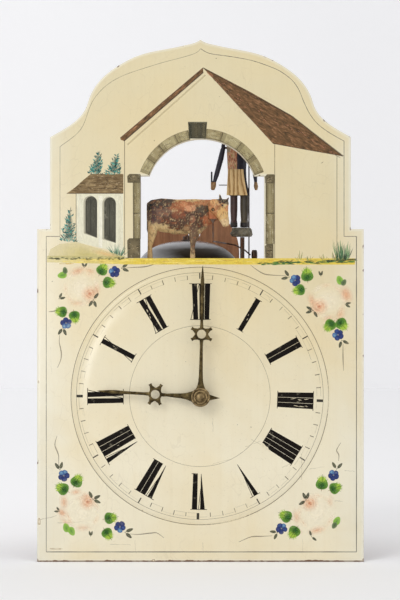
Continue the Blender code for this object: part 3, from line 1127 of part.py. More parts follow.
def build_butcher():
    foot = PLATFORM_TOP_Z + CLEARANCE
    hip = ARMS_Z - 0.0441
    waist = ARMS_Z - 0.0205
    neck = ARMS_Z + 0.0145
    post = rod(POST_RADIUS, TOP_PLATE_Z, PLATFORM_Z - CLEARANCE, (POST_X, FIGURE_Y), "Z", 12)
    node(post, "figure_post", "iron")

    half, depth = PLATFORM_LENGTH / 2, PLATFORM_DEPTH / 2
    mound = loft([
        (PLATFORM_Z, PLATFORM_X, FIGURE_Y, half, depth),
        (PLATFORM_Z + 0.3 * PLATFORM_HEIGHT, PLATFORM_X, FIGURE_Y, half, depth),
        (PLATFORM_Z + 0.8 * PLATFORM_HEIGHT, PLATFORM_X, FIGURE_Y, 0.93 * half, 0.95 * depth),
        (PLATFORM_TOP_Z, PLATFORM_X, FIGURE_Y, 0.86 * half, 0.9 * depth),
    ], sides=16)
    node(mound, "figure_platform", "stone")

    coat_y = (FIGURE_Y + ARMS_Y) / 2
    body = loft([
        (hip, FIGURE_X + 0.0008, FIGURE_Y, 0.0086, 0.0052),
        (waist, FIGURE_X, coat_y - 0.0010, 0.0086, 0.0055),
        (waist + 0.013, FIGURE_X, coat_y, 0.0092, 0.0058),
        (ARMS_Z + 0.0015, FIGURE_X, ARMS_Y - 0.0016, 0.0095, 0.0056),
        (ARMS_Z + 0.0065, FIGURE_X, ARMS_Y - 0.0016, 0.0083, 0.0048),
        (ARMS_Z + 0.0105, FIGURE_X, ARMS_Y - 0.0016, 0.0042, 0.0038),
        (neck, FIGURE_X, ARMS_Y - 0.0016, 0.0032, 0.0032),
    ], sides=14)
    for leg_x, width in ((FIGURE_X - 0.0028, 0.0034), (FIGURE_X + 0.0068, 0.0039)):
        leg = loft([
            (foot, leg_x, FIGURE_Y, width, 0.0055),
            (foot + 0.0035, leg_x, FIGURE_Y, width, 0.0050),
            (foot + 0.0065, leg_x, FIGURE_Y + 0.0012, 0.85 * width, 0.0030),
            (foot + 0.016, leg_x, FIGURE_Y + 0.0012, width, 0.0034),
            (hip + 0.004, leg_x, FIGURE_Y + 0.0006, width, 0.0036),
        ], sides=10)
        fuse(body, leg)
    bore = ARMS_ARBOR_RADIUS + RUNNING_GAP
    reach = (FIGURE_X - 0.03, FIGURE_X + 0.03)
    shoulder = (ARMS_Y, ARMS_Z)
    cut(body, rod(bore, *reach, shoulder, "X", 8))
    node(body, "figure_body", "coat")

    head = loft([
        (neck + CLEARANCE, FIGURE_X, ARMS_Y - 0.0020, 0.0034, 0.0036),
        (neck + 0.0040, FIGURE_X, ARMS_Y - 0.0026, 0.0050, 0.0056),
        (neck + 0.0085, FIGURE_X, ARMS_Y - 0.0022, 0.0060, 0.0066),
        (neck + 0.0130, FIGURE_X, ARMS_Y - 0.0018, 0.0060, 0.0064),
        (neck + 0.0170, FIGURE_X, ARMS_Y - 0.0014, 0.0044, 0.0048),
        (neck + 0.0190, FIGURE_X, ARMS_Y - 0.0014, 0.0020, 0.0022),
    ], sides=12)
    node(head, "figure_head", "skin")

    front = FIGURE_Y - 0.0056 - CLEARANCE
    loops = []
    for z, low, high in ((hip - 0.0002, -0.0096, 0.0116), (waist, -0.0082, 0.0090)):
        folds = [low + (high - low) * i / 8 for i in range(9)]
        outer = [(FIGURE_X + x, front - 0.0016 - 0.0007 * (i % 2), z) for i, x in enumerate(folds)]
        inner = [(FIGURE_X + x, front, z) for x in reversed(folds)]
        loops.append(outer + inner)
    node(skin(loops), "figure_apron", "linen")

    pivot = (0, ARMS_Y, ARMS_Z)
    for name, top_x, hand_x, bulk in (
        ("right_arm", FIGURE_X - 0.0125, FIGURE_X - 0.0220, 1.0),
        ("left_arm", FIGURE_X + 0.0148, FIGURE_X + 0.0177, 0.85),
    ):
        stations = []
        for drop, share, across, deep in (
            (-0.0040, 0.0, 0.0013, 0.0019), (-0.0005, 0.0, 0.0023, 0.0030), (0.0105, 0.25, 0.0027, 0.0028),
            (0.0255, 0.67, 0.0024, 0.0025), (0.0315, 0.85, 0.0017, 0.0018), (0.0355, 0.95, 0.0025, 0.0023),
            (0.0390, 1.0, 0.0014, 0.0014),
        ):
            x = top_x + (hand_x - top_x) * share
            stations.append((ARMS_Z - drop, x, ARMS_Y - 0.0015 * share, across * bulk, deep * bulk))
        arm = loft(stations[::-1], sides=10)
        if name == "right_arm":
            grip = rod(0.0009, ARMS_Z - 0.0385, ARMS_Z - 0.0220, (hand_x - 0.0012, ARMS_Y - 0.0028), "Z", 8)
            fuse(arm, grip)
        node(cut(arm, rod(bore, *reach, shoulder, "X", 8)), name, "coat", pivot)

    ends = (FIGURE_X - 0.0142, FIGURE_X + 0.0163)
    arbor = rod(ARMS_ARBOR_RADIUS, *ends, shoulder, "X", 8)
    half = PULL_WIRE_RADIUS + 0.0001
    tip = 2 * PULL_WIRE_RADIUS
    crank = prism([bar(shoulder, (WIRE_Y, ARMS_Z), 1.8 * ARMS_ARBOR_RADIUS, tip)],
                  PULL_WIRE_X - half, PULL_WIRE_X + half, "X")
    node(fuse(arbor, crank), "shoulder_arbor", "iron", pivot)

    top = ARMS_Z - tip - CLEARANCE
    button = 3 * PULL_WIRE_RADIUS
    profile = [
        (0, WIRE_FOOT_Z - button), (button, WIRE_FOOT_Z - button), (button, WIRE_FOOT_Z),
        (PULL_WIRE_RADIUS, WIRE_FOOT_Z), (PULL_WIRE_RADIUS, top), (0, top),
    ]
    node(turned(profile, (PULL_WIRE_X, WIRE_Y), "Z", 8), "pull_wire", "iron")


def main():
    for obj in list(bpy.data.objects):
        bpy.data.objects.remove(obj)
    build_shield()
    build_plates()
    build_case()
    build_going_train()
    build_pendulum()
    build_motion_work()
    build_hands()
    build_strike_train()
    build_count_wheel()
    build_hammer()
    build_bell()
    build_link(build_ox())
    build_butcher()


main()
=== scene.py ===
"""Painted shield clock with an ox and a butcher in its arched window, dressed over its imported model."""

import json
import math
import random

import bmesh
import bpy
from mathutils import Matrix, Vector, noise
from mathutils.geometry import interpolate_bezier

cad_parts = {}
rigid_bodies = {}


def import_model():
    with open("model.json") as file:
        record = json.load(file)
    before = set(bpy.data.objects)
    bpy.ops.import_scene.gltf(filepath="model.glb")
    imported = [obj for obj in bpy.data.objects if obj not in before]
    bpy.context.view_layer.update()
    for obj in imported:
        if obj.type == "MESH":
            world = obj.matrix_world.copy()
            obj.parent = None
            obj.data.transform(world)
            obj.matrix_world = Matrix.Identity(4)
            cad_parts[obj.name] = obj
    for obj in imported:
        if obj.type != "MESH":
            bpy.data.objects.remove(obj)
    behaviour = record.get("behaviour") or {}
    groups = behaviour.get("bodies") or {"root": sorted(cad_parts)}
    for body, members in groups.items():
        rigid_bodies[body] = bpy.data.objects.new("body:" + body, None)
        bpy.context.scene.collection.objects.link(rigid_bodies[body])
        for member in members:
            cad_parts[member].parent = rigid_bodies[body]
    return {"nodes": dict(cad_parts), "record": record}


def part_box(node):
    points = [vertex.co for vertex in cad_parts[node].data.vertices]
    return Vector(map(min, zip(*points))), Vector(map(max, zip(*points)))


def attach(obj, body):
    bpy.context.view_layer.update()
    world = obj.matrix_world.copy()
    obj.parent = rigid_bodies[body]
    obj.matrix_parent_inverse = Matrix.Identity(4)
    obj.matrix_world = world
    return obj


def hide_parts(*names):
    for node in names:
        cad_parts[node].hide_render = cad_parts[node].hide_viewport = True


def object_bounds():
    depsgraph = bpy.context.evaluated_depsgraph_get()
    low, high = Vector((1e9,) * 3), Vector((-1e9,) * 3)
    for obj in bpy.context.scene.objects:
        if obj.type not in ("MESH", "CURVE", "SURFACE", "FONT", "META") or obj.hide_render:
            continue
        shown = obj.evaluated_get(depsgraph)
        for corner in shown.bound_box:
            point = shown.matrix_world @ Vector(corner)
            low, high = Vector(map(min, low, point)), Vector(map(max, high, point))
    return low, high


for leftover in list(bpy.data.objects):
    bpy.data.objects.remove(leftover)
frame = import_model()

bl_info = {
    "name": "Shield Clock",
    "version": (1, 0, 0),
    "blender": (4, 5, 0),
    "location": "3D View > Sidebar > Shield Clock",
    "description": "Makes the painted board, dial, hands, bell, ox, butcher and movement of a shield clock",
    "category": "Object",
}

CAD_BOX = [list(corner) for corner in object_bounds()]
BOARD_LOW, BOARD_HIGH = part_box("shield_board")
BELL_LOW, BELL_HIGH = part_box("bell")

# Sizes of the board that the solids also follow, in metres
DIAL_RISE = 0.0024
DIAL_RADIUS = 0.114
DIAL_FLAT_RADIUS = 0.096
HAND_HOLE_RADIUS = 0.0075
FACE_Y = BOARD_LOW.y + DIAL_RISE
BACK_Y = BOARD_HIGH.y
HALF_WIDTH = BOARD_HIGH.x
SHOULDER_INSET = 0.0115
SHOULDER_Z = 0.1486
CROWN_CORNER_Z = 0.2302
CROWN_WAIST = (0.0998, 0.2612)
CROWN_BROW = (0.0643, 0.2985)
CROWN_NECK = (0.0150, 0.3115)
HANDLE_SHARE = 0.36
ARCH_X = 0.0013
ARCH_SILL_Z = 0.1224
ARCH_HALF_WIDTH = 0.0554
ARCH_SPRING_Z = 0.1956
ARCH_CENTRE_Z = 0.179
ARCH_RADIUS = 0.0494
WORN_FOOT = 0.006
CAMERA_X = -0.0004
CAMERA_Z = 0.0856
MM = 0.001
TURN = 2 * math.pi


def srgb(red, green, blue, alpha=1.0):
    """A colour written in 0-255 display values, as linear values for the shader."""
    linear = []
    for value in (red, green, blue):
        share = value / 255
        linear.append(share / 12.92 if share <= 0.04045 else ((share + 0.055) / 1.055) ** 2.4)
    return (*linear, alpha)


def colour_property(label, words, red, green, blue):
    return bpy.props.FloatVectorProperty(
        name=label, description=words, subtype="COLOR", size=4, min=0, max=1,
        default=srgb(red, green, blue))


def length_property(label, words, metres):
    return bpy.props.FloatProperty(
        name=label, description=words, default=metres, min=0, precision=5, subtype="DISTANCE",
        unit="LENGTH")


def share_property(label, words, value):
    return bpy.props.FloatProperty(name=label, description=words, default=value, min=0, max=1,
                                   subtype="FACTOR")


def power_property(label, words, watts):
    return bpy.props.FloatProperty(name=label, description=words, default=watts, min=0, unit="POWER")


class ClockBoardSettings(bpy.types.PropertyGroup):
    """The board and its cream lacquer"""

    cream: colour_property("Cream", "Ground colour of the crown of the board", 214, 201, 163)
    pale_cream: colour_property("Pale cream", "Ground colour of the foot of the board", 230, 221, 194)
    yellowed: colour_property("Yellowed", "Colour the old varnish has turned to", 219, 196, 142)
    bare_wood: colour_property("Bare wood", "Wood that shows where the edge is chipped", 104, 76, 52)
    edge_round: length_property("Edge round", "Width of the worn edge of the board", 0.0011)
    rim_width: length_property("Worn rim", "Width of the border in which the lacquer is pale and chipped",
                               0.0018)
    wear: share_property("Wear", "How much of the rim has lost its lacquer", 0.10)


class ClockPaintSettings(bpy.types.PropertyGroup):
    """The painted dial, flowers and house"""

    ink: colour_property("Ink", "Brown-black of the numerals", 17, 12, 8)
    line: colour_property("Line", "Grey of the rings and tendrils", 104, 96, 80)
    border: colour_property("Border", "Blue-grey of the border line", 84, 84, 80)
    leaf_dark: colour_property("Dark leaf", "Dark green at the base of a leaf", 30, 84, 26)
    leaf_mid: colour_property("Leaf", "Middle green of a leaf", 92, 138, 40)
    leaf_light: colour_property("Light leaf", "Yellow-green at the tip of a leaf", 170, 198, 70)
    blue: colour_property("Blue", "Deep blue of the small flowers", 14, 32, 92)
    rose: colour_property("Rose", "Pale ground of the roses", 237, 227, 203)
    bud: colour_property("Bud", "Peach of the rose buds", 222, 172, 136)
    numeral_inner: length_property("Numeral foot", "Radius of the feet of the numerals", 0.0683)
    numeral_outer: length_property("Numeral head", "Radius of the heads of the numerals", 0.1000)
    bar_pitch: length_property("Bar pitch", "Distance from one thick stroke to the next", 0.0047)
    bar_gap: length_property("Bar gap", "Pale gap between two thick strokes", 0.00025)
    bar_fan: share_property("Bar fan", "How much wider a numeral is at its head than at its middle", 0.06)


class ClockMetalSettings(bpy.types.PropertyGroup):
    """The hands, bell, wheels and wires"""

    hand_brass: colour_property("Hand brass", "Dark patina of the hands", 100, 86, 56)
    wheel_brass: colour_property("Wheel brass", "Brass of the wheels and the bob", 176, 140, 78)
    steel: colour_property("Steel", "Grey of the bell and arbors", 128, 128, 124)
    iron: colour_property("Iron", "Dark iron of wires, hinges and post", 74, 68, 62)
    hand_edge: length_property("Hand edge", "Width of the filed edge of the hands", 0.00022)


class ClockFigureSettings(bpy.types.PropertyGroup):
    """The carved ox and the butcher"""

    hide: colour_property("Hide", "Cream ochre of the ox", 206, 178, 128)
    hide_dark: colour_property("Dark hide", "Dark brown patches of the ox", 78, 52, 34)
    hide_rust: colour_property("Rust hide", "Rusty orange patches of the ox", 170, 92, 46)
    coat: colour_property("Coat", "Navy of the butcher's jacket", 44, 42, 62)
    vest: colour_property("Waistcoat", "Salmon of the butcher's waistcoat", 214, 154, 114)
    trousers: colour_property("Trousers", "Dark brown of the butcher's legs", 78, 50, 44)
    apron: colour_property("Apron", "Ochre linen of the apron", 230, 200, 146)
    skin: colour_property("Skin", "Painted skin", 198, 160, 112)
    grain: length_property("Carving grain", "Cell size of the carved figures", 0.0006)


class ClockStageSettings(bpy.types.PropertyGroup):
    """Floor, light and camera"""

    key_power: power_property("Key light", "Power of the soft light at the upper left", 18.0)
    fill_power: power_property("Fill light", "Power of the light at the right", 6.0)
    glint_power: power_property("Glint", "Power of the small light that glints on the rim of the dial", 3.6)
    sky: share_property("Sky", "Strength of the even light from all round", 0.68)
    backdrop: colour_property("Backdrop", "Near white of the floor and backdrop", 244, 244, 246)
    distance: length_property("Camera distance", "From the lens to the face of the board", 1.6)
    lens: bpy.props.FloatProperty(
        name="Lens", description="Focal length in millimetres", default=108.2, min=1,
        subtype="DISTANCE_CAMERA")


class ShieldClockSettings(bpy.types.PropertyGroup):
    """All settings of the shield clock"""

    board: bpy.props.PointerProperty(type=ClockBoardSettings)
    paint: bpy.props.PointerProperty(type=ClockPaintSettings)
    metal: bpy.props.PointerProperty(type=ClockMetalSettings)
    figure: bpy.props.PointerProperty(type=ClockFigureSettings)
    stage: bpy.props.PointerProperty(type=ClockStageSettings)


def settings():
    return bpy.context.scene.shield_clock


# Shader tools


class ShaderTree:
    """Adds nodes to one shader tree and joins them."""

    def __init__(self, tree):
        self.tree = tree

    def add(self, kind, inputs=None, **values):
        made = self.tree.nodes.new(kind)
        for name, value in values.items():
            setattr(made, name, value)
        for name, value in (inputs or {}).items():
            self.feed(made.inputs[name], value)
        return made

    def feed(self, socket, value):
        if isinstance(value, bpy.types.NodeSocket):
            self.tree.links.new(value, socket)
        else:
            socket.default_value = value

    def coords(self, scale=(1, 1, 1), turn=(0, 0, 0)):
        place = self.add("ShaderNodeTexCoord")
        mapping = self.add("ShaderNodeMapping", {"Vector": place.outputs["Object"]}, vector_type="TEXTURE")
        mapping.inputs["Scale"].default_value = [1 / value for value in scale]
        mapping.inputs["Rotation"].default_value = turn
        return mapping.outputs["Vector"]

    def noise(self, vector, scale, detail=3.0, rough=0.55, bend=0.0):
        made = self.add("ShaderNodeTexNoise", {"Vector": vector, "Scale": scale, "Detail": detail,
                                               "Roughness": rough, "Distortion": bend})
        return made.outputs["Fac"]

    def spread(self, value, low, high, start=0.0, end=1.0):
        made = self.add("ShaderNodeMapRange", {"Value": value, "From Min": low, "From Max": high,
                                               "To Min": start, "To Max": end}, clamp=True)
        return made.outputs["Result"]

    def math(self, kind, first, second=0.5):
        made = self.add("ShaderNodeMath", operation=kind)
        self.feed(made.inputs[0], first)
        self.feed(made.inputs[1], second)
        return made.outputs[0]

    def times(self, first, second):
        return self.math("MULTIPLY", first, second)

    def mix(self, share, first, second, kind="MIX"):
        made = self.add("ShaderNodeMix", data_type="RGBA", blend_type=kind)
        self.feed(made.inputs["Factor"], share)
        self.feed(made.inputs[6], first)
        self.feed(made.inputs[7], second)
        return made.outputs[2]

    def part(self, vector, axis):
        return self.add("ShaderNodeSeparateXYZ", {"Vector": vector}).outputs[axis]

    def attribute(self, name):
        """What is kept on the mesh under this name."""
        return self.add("ShaderNodeAttribute", attribute_name=name).outputs

    def ramp(self, value, stops):
        made = self.add("ShaderNodeValToRGB", {"Fac": value})
        while len(made.color_ramp.elements) < len(stops):
            made.color_ramp.elements.new(0.5)
        for element, (place, colour) in zip(made.color_ramp.elements, stops):
            element.position = place
            element.color = colour
        return made.outputs["Color"]

    def group(self, name, **inputs):
        made = self.add("ShaderNodeGroup", node_tree=groups[name])
        for name, value in inputs.items():
            self.feed(made.inputs[name.title()], value)
        return made.outputs

    def lay(self, shader, colour, rough, height, strength, depth):
        """Joins a finish to its shader: colour, roughness and a bump of this strength and depth."""
        bump = self.add("ShaderNodeBump", {"Height": height, "Strength": strength, "Distance": depth})
        self.feed(shader.inputs["Base Color"], colour)
        self.feed(shader.inputs["Roughness"], rough)
        self.feed(shader.inputs["Normal"], bump.outputs["Normal"])

    def seen(self):
        """One for what the camera, a mirror or a glass sees, nought for light."""
        path = self.add("ShaderNodeLightPath").outputs
        return self.math("MAXIMUM", self.math("MAXIMUM", path["Is Camera Ray"], path["Is Glossy Ray"]),
                         path["Is Transmission Ray"])


def start_group(name, inputs, outputs):
    """A shader group with these sockets, as (group, tree, its input sockets, its output sockets)."""
    group = bpy.data.node_groups.new(name, "ShaderNodeTree")
    for label, kind, default in inputs:
        socket = group.interface.new_socket(label, in_out="INPUT", socket_type=kind)
        socket.default_value = default
    for label, kind in outputs:
        group.interface.new_socket(label, in_out="OUTPUT", socket_type=kind)
    tree = ShaderTree(group)
    return group, tree, tree.add("NodeGroupInput").outputs, tree.add("NodeGroupOutput").inputs


FLOAT, COLOUR, VECTOR = "NodeSocketFloat", "NodeSocketColor", "NodeSocketVector"
GREY = (0.5, 0.5, 0.5, 1)
groups = {}


def craquelure_group():
    """Fine crack lines of old varnish."""
    group, tree, given, out = start_group(
        "Craquelure", [("Scale", FLOAT, 260.0), ("Width", FLOAT, 0.05)], [("Cracks", FLOAT)])
    vector = tree.coords((1, 1, 0.55))
    sway = tree.add("ShaderNodeTexNoise", {"Vector": vector, "Scale": 70.0, "Detail": 2.0})
    bent = tree.add("ShaderNodeMix", data_type="VECTOR")
    bent.inputs["Factor"].default_value = 0.012
    tree.feed(bent.inputs[4], vector)
    tree.feed(bent.inputs[5], sway.outputs["Color"])
    edge = tree.add("ShaderNodeTexVoronoi", {"Vector": bent.outputs[1], "Scale": given["Scale"]},
                    feature="DISTANCE_TO_EDGE")
    line = tree.math("LESS_THAN", edge.outputs["Distance"], given["Width"])
    patchy = tree.spread(tree.noise(vector, 22.0), 0.42, 0.62)
    tree.feed(out["Cracks"], tree.times(line, patchy))
    return group


def paint_loss_group():
    """Small places where the paint has come away, more of them where the bias is high."""
    group, tree, given, out = start_group(
        "Paint Loss", [("Scale", FLOAT, 300.0), ("Amount", FLOAT, 0.3), ("Bias", FLOAT, 0.0)],
        [("Loss", FLOAT)])
    vector = tree.coords()
    fine = tree.noise(vector, given["Scale"], 4.0, 0.6, 0.4)
    wide = tree.noise(vector, 34.0, 2.0)
    both = tree.math("ADD", tree.times(fine, 0.72), tree.times(wide, 0.28))
    lifted = tree.math("ADD", both, tree.times(given["Bias"], 0.32))
    limit = tree.math("SUBTRACT", 0.80, tree.times(given["Amount"], 0.30))
    tree.feed(out["Loss"], tree.spread(lifted, limit, tree.math("ADD", limit, 0.02)))
    return group


def grime_group():
    """Soft cloudy dirt with fine specks."""
    group, tree, given, out = start_group(
        "Grime", [("Scale", FLOAT, 14.0), ("Specks", FLOAT, 900.0)], [("Cloud", FLOAT), ("Specks", FLOAT)])
    vector = tree.coords()
    tree.feed(out["Cloud"], tree.spread(tree.noise(vector, given["Scale"], 5.0, 0.62, 0.3), 0.35, 0.72))
    tree.feed(out["Specks"], tree.spread(tree.noise(vector, given["Specks"], 2.0), 0.66, 0.74))
    return group


def wood_figure_group():
    """Long grain with pores. Stretch says how the grain runs."""
    group, tree, given, out = start_group(
        "Wood Figure",
        [("Dark", COLOUR, GREY), ("Light", COLOUR, GREY), ("Stretch", VECTOR, (60, 60, 6)),
         ("Pores", FLOAT, 3.0)],
        [("Color", COLOUR), ("Height", FLOAT)])
    place = tree.add("ShaderNodeTexCoord")
    vector = tree.add("ShaderNodeVectorMath", operation="MULTIPLY")
    tree.feed(vector.inputs[0], place.outputs["Object"])
    tree.feed(vector.inputs[1], given["Stretch"])
    figure = tree.noise(vector.outputs[0], 1.6, 4.0, 0.6, 0.8)
    fine = tree.noise(vector.outputs[0], 9.0, 3.0, 0.7)
    pores = tree.math("LESS_THAN", tree.noise(vector.outputs[0], tree.times(given["Pores"], 12.0), 2.0),
                      0.37)
    tone = tree.math("ADD", tree.times(figure, 0.7), tree.times(fine, 0.3))
    colour = tree.mix(tree.spread(tone, 0.34, 0.66), given["Dark"], given["Light"])
    tree.feed(out["Color"], tree.mix(tree.times(pores, 0.35), colour, given["Dark"]))
    tree.feed(out["Height"], tree.math("SUBTRACT", tone, tree.times(pores, 0.3)))
    return group


def aged_metal_group():
    """Metal with tarnish in clouds, file marks and a few rubbed places."""
    group, tree, given, out = start_group(
        "Aged Metal",
        [("Clean", COLOUR, GREY), ("Tarnish", COLOUR, GREY), ("Scale", FLOAT, 120.0),
         ("Amount", FLOAT, 0.5)],
        [("Color", COLOUR), ("Roughness", FLOAT), ("Height", FLOAT)])
    vector = tree.coords()
    cloud = tree.noise(vector, given["Scale"], 5.0, 0.65, 0.5)
    filed = tree.noise(tree.coords((30, 1, 30)), 90.0, 2.0)
    limit = tree.math("SUBTRACT", 1.0, given["Amount"])
    share = tree.spread(cloud, tree.math("SUBTRACT", limit, 0.22), tree.math("ADD", limit, 0.16))
    tree.feed(out["Color"], tree.mix(share, given["Clean"], given["Tarnish"]))
    tree.feed(out["Roughness"], tree.spread(share, 0, 1, 0.30, 0.58))
    tree.feed(out["Height"], tree.math("ADD", tree.times(cloud, 0.7), tree.times(filed, 0.3)))
    return group


def make_groups():
    groups["craquelure"] = craquelure_group()
    groups["loss"] = paint_loss_group()
    groups["grime"] = grime_group()
    groups["wood"] = wood_figure_group()
    groups["metal"] = aged_metal_group()


finishes = {}


def new_finish(name, roughness=0.5, **values):
    """A new material, kept under its name, as (tree, Principled shader)."""
    material = bpy.data.materials.new(name)
    material.use_nodes = True
    tree = ShaderTree(material.node_tree)
    shader = material.node_tree.nodes["Principled BSDF"]
    shader.inputs["Roughness"].default_value = roughness
    for label, value in values.items():
        shader.inputs[label.replace("_", " ")].default_value = value
    finishes[name] = material
    return tree, shader


def lacquer_finish(name, high, low, yellowed, bare, wear):
    """Cream lacquer, yellowed in clouds, faintly crazed, pale along the rim and chipped there in places."""
    tree, shader = new_finish(name, 0.36, Coat_Weight=0.25, Coat_Roughness=0.18)
    vector = tree.coords()
    tone = tree.mix(tree.spread(tree.part(vector, "Z"), -0.06, 0.13), low, high)
    side = tree.math("ABSOLUTE", tree.part(vector, "X"))
    tone = tree.mix(tree.spread(side, 0.112, 0.142, 0.0, 0.55), tone, srgb(224, 221, 204))
    cloud = tree.noise(vector, 9.0, 4.0, 0.6, 0.4)
    tone = tree.mix(tree.spread(cloud, 0.42, 0.68, 0.0, 0.42), tone, yellowed)
    streak = tree.spread(tree.noise(tree.coords((120, 1, 3)), 3.0, 3.0), 0.50, 0.75, 0.0, 0.06)
    tone = tree.mix(streak, tone, yellowed, "MULTIPLY")
    dirt = tree.group("grime", scale=26.0, specks=620.0)
    tone = tree.mix(tree.times(dirt["Specks"], 0.16), tone, srgb(120, 100, 70))
    tone = tree.mix(tree.times(dirt["Cloud"], 0.07), tone, srgb(168, 150, 108))
    cracks = tree.group("craquelure", scale=95.0, width=0.012)
    tone = tree.mix(tree.times(cracks["Cracks"], 0.09), tone, srgb(120, 98, 64))
    rim = tree.attribute("rim")["Fac"]
    tone = tree.mix(tree.spread(rim, 0.05, 0.5, 0.0, 0.45), tone, srgb(228, 226, 212))
    loss = tree.group("loss", scale=150.0, amount=wear, bias=rim)
    chipped = tree.times(loss["Loss"], tree.spread(rim, 0.42, 0.50))
    tone = tree.mix(chipped, tone, bare)
    tone = tree.mix(tree.spread(rim, 0.74, 0.86, 0.0, 0.7), tone, srgb(126, 92, 66))
    tree.feed(shader.inputs["Coat Weight"], tree.spread(chipped, 0, 1, 0.25, 0.0))
    height = tree.math("SUBTRACT", tree.times(tree.noise(vector, 55.0, 3.0), 0.5),
                       tree.math("ADD", tree.times(cracks["Cracks"], 0.06), chipped))
    tree.lay(shader, tone, tree.spread(chipped, 0, 1, 0.36, 0.72), height, 0.30, 0.00025)


def brushwork_finish(name, shine):
    """Painted decoration: the colour is kept on the mesh, with brush marks and lost flakes."""
    tree, shader = new_finish(name, 0.55, Specular_IOR_Level=shine)
    paint = tree.attribute("paint")
    brush = tree.spread(tree.noise(tree.coords((1, 1, 0.4)), 520.0, 3.0, 0.6, 0.6), 0.35, 0.68, 0.91, 1.05)
    tone = tree.mix(1.0, paint["Color"], brush, "MULTIPLY")
    tree.lay(shader, tone, tree.spread(brush, 0.91, 1.05, 0.62, 0.48), brush, 0.2, 0.0001)
    loss = tree.group("loss", scale=620.0, amount=0.26)
    worn = tree.spread(tree.noise(tree.coords(), 150.0, 3.0, 0.6), 0.28, 0.40, 0.82, 1.0)
    kept = tree.times(tree.math("SUBTRACT", 1.0, loss["Loss"]), worn)
    cover = tree.math("MINIMUM", tree.times(kept, paint["Alpha"]), 1.0)
    tree.feed(shader.inputs["Alpha"], cover)


def tile_finish(name, slope, tones):
    """Painted roof: short dabs of five tones in rows that run down the slope."""
    tree, shader = new_finish(name, 0.58, Specular_IOR_Level=0.2)
    rows = tree.coords((170, 1, 620), (0, slope, 0))
    dabs = tree.noise(rows, 1.0, 3.0, 0.62, 0.5)
    ramp = tree.ramp(dabs, list(zip((0.30, 0.42, 0.50, 0.58, 0.68), (srgb(*tone) for tone in tones))))
    wide = tree.spread(tree.noise(tree.coords((22, 1, 60), (0, slope, 0)), 1.0, 2.0), 0.36, 0.62, 0.0, 0.5)
    tone = tree.mix(wide, ramp, srgb(*tones[1]))
    tree.lay(shader, tone, tree.spread(dabs, 0.3, 0.7, 0.66, 0.50), dabs, 0.25, 0.00012)
    loss = tree.group("loss", scale=520.0, amount=0.22)
    tree.feed(shader.inputs["Alpha"], tree.math("SUBTRACT", 1.0, loss["Loss"]))


def wood_finish(name, dark, light, stretch, roughness=0.55, soil=0.3):
    """Planed wood with grain, pores and handling dirt."""
    tree, shader = new_finish(name, roughness)
    figure = tree.group("wood", dark=dark, light=light, stretch=stretch)
    dirt = tree.group("grime", scale=30.0, specks=500.0)
    tone = tree.mix(tree.times(dirt["Cloud"], soil), figure["Color"], srgb(64, 46, 30))
    rough = tree.spread(dirt["Cloud"], 0, 1, roughness - 0.1, roughness + 0.15)
    tree.lay(shader, tone, rough, figure["Height"], 0.4, 0.0002)


def metal_finish(name, clean, tarnish, amount, scale=120.0):
    """Old metal, duller where it is tarnished."""
    tree, shader = new_finish(name, 0.4, Metallic=1.0)
    aged = tree.group("metal", clean=clean, tarnish=tarnish, scale=scale, amount=amount)
    dirt = tree.group("grime", scale=60.0, specks=900.0)
    tone = tree.mix(tree.times(dirt["Specks"], 0.4), aged["Color"], tarnish)
    tree.lay(shader, tone, aged["Roughness"], aged["Height"], 0.35, 0.00006)


def painted_wood_finish(name, stops, scale, bare, worn, stretch):
    """Hand-painted carving: colours laid in patches, with flakes off to the wood."""
    tree, shader = new_finish(name, 0.52)
    patches = tree.noise(tree.coords(stretch), scale, 3.0, 0.55, 0.9)
    laid = tree.ramp(patches, stops)
    brush = tree.spread(tree.noise(tree.coords((1, 1, 2.5)), 900.0, 2.0, 0.6), 0.3, 0.7, 0.78, 1.16)
    tone = tree.mix(1.0, laid, brush, "MULTIPLY")
    loss = tree.group("loss", scale=520.0, amount=worn)
    tone = tree.mix(loss["Loss"], tone, bare)
    height = tree.math("SUBTRACT", brush, loss["Loss"])
    tree.lay(shader, tone, tree.spread(loss["Loss"], 0, 1, 0.5, 0.75), height, 0.4, 0.00015)


def hide_finish(name, pale, rust, dark, bare):
    """Thickly painted hide: the patches are kept on the mesh, broken up by dabs of the other colours."""
    tree, shader = new_finish(name, 0.6, Specular_IOR_Level=0.3)
    tone = tree.attribute("paint")["Color"]
    dabs = tree.noise(tree.coords((1.7, 1, 0.8), (0, 0.5, 0)), 430.0, 3.0, 0.65, 0.5)
    for stretch, scale, colour, strength in (((1.6, 1, 0.7), 340.0, dark, 0.50),
                                             ((1, 1, 1.5), 300.0, rust, 0.34)):
        marks = tree.noise(tree.coords(stretch, (0, -0.4, 0)), scale, 3.0, 0.62, 0.6)
        tone = tree.mix(tree.spread(marks, 0.54, 0.62, 0.0, strength), tone, colour)
    tone = tree.mix(tree.spread(dabs, 0.565, 0.645, 0.0, 0.55), tone, pale)
    loss = tree.group("loss", scale=520.0, amount=0.16)
    tone = tree.mix(loss["Loss"], tone, bare)
    tree.lay(shader, tone, tree.spread(dabs, 0.3, 0.7, 0.70, 0.50), dabs, 0.6, 0.0005)


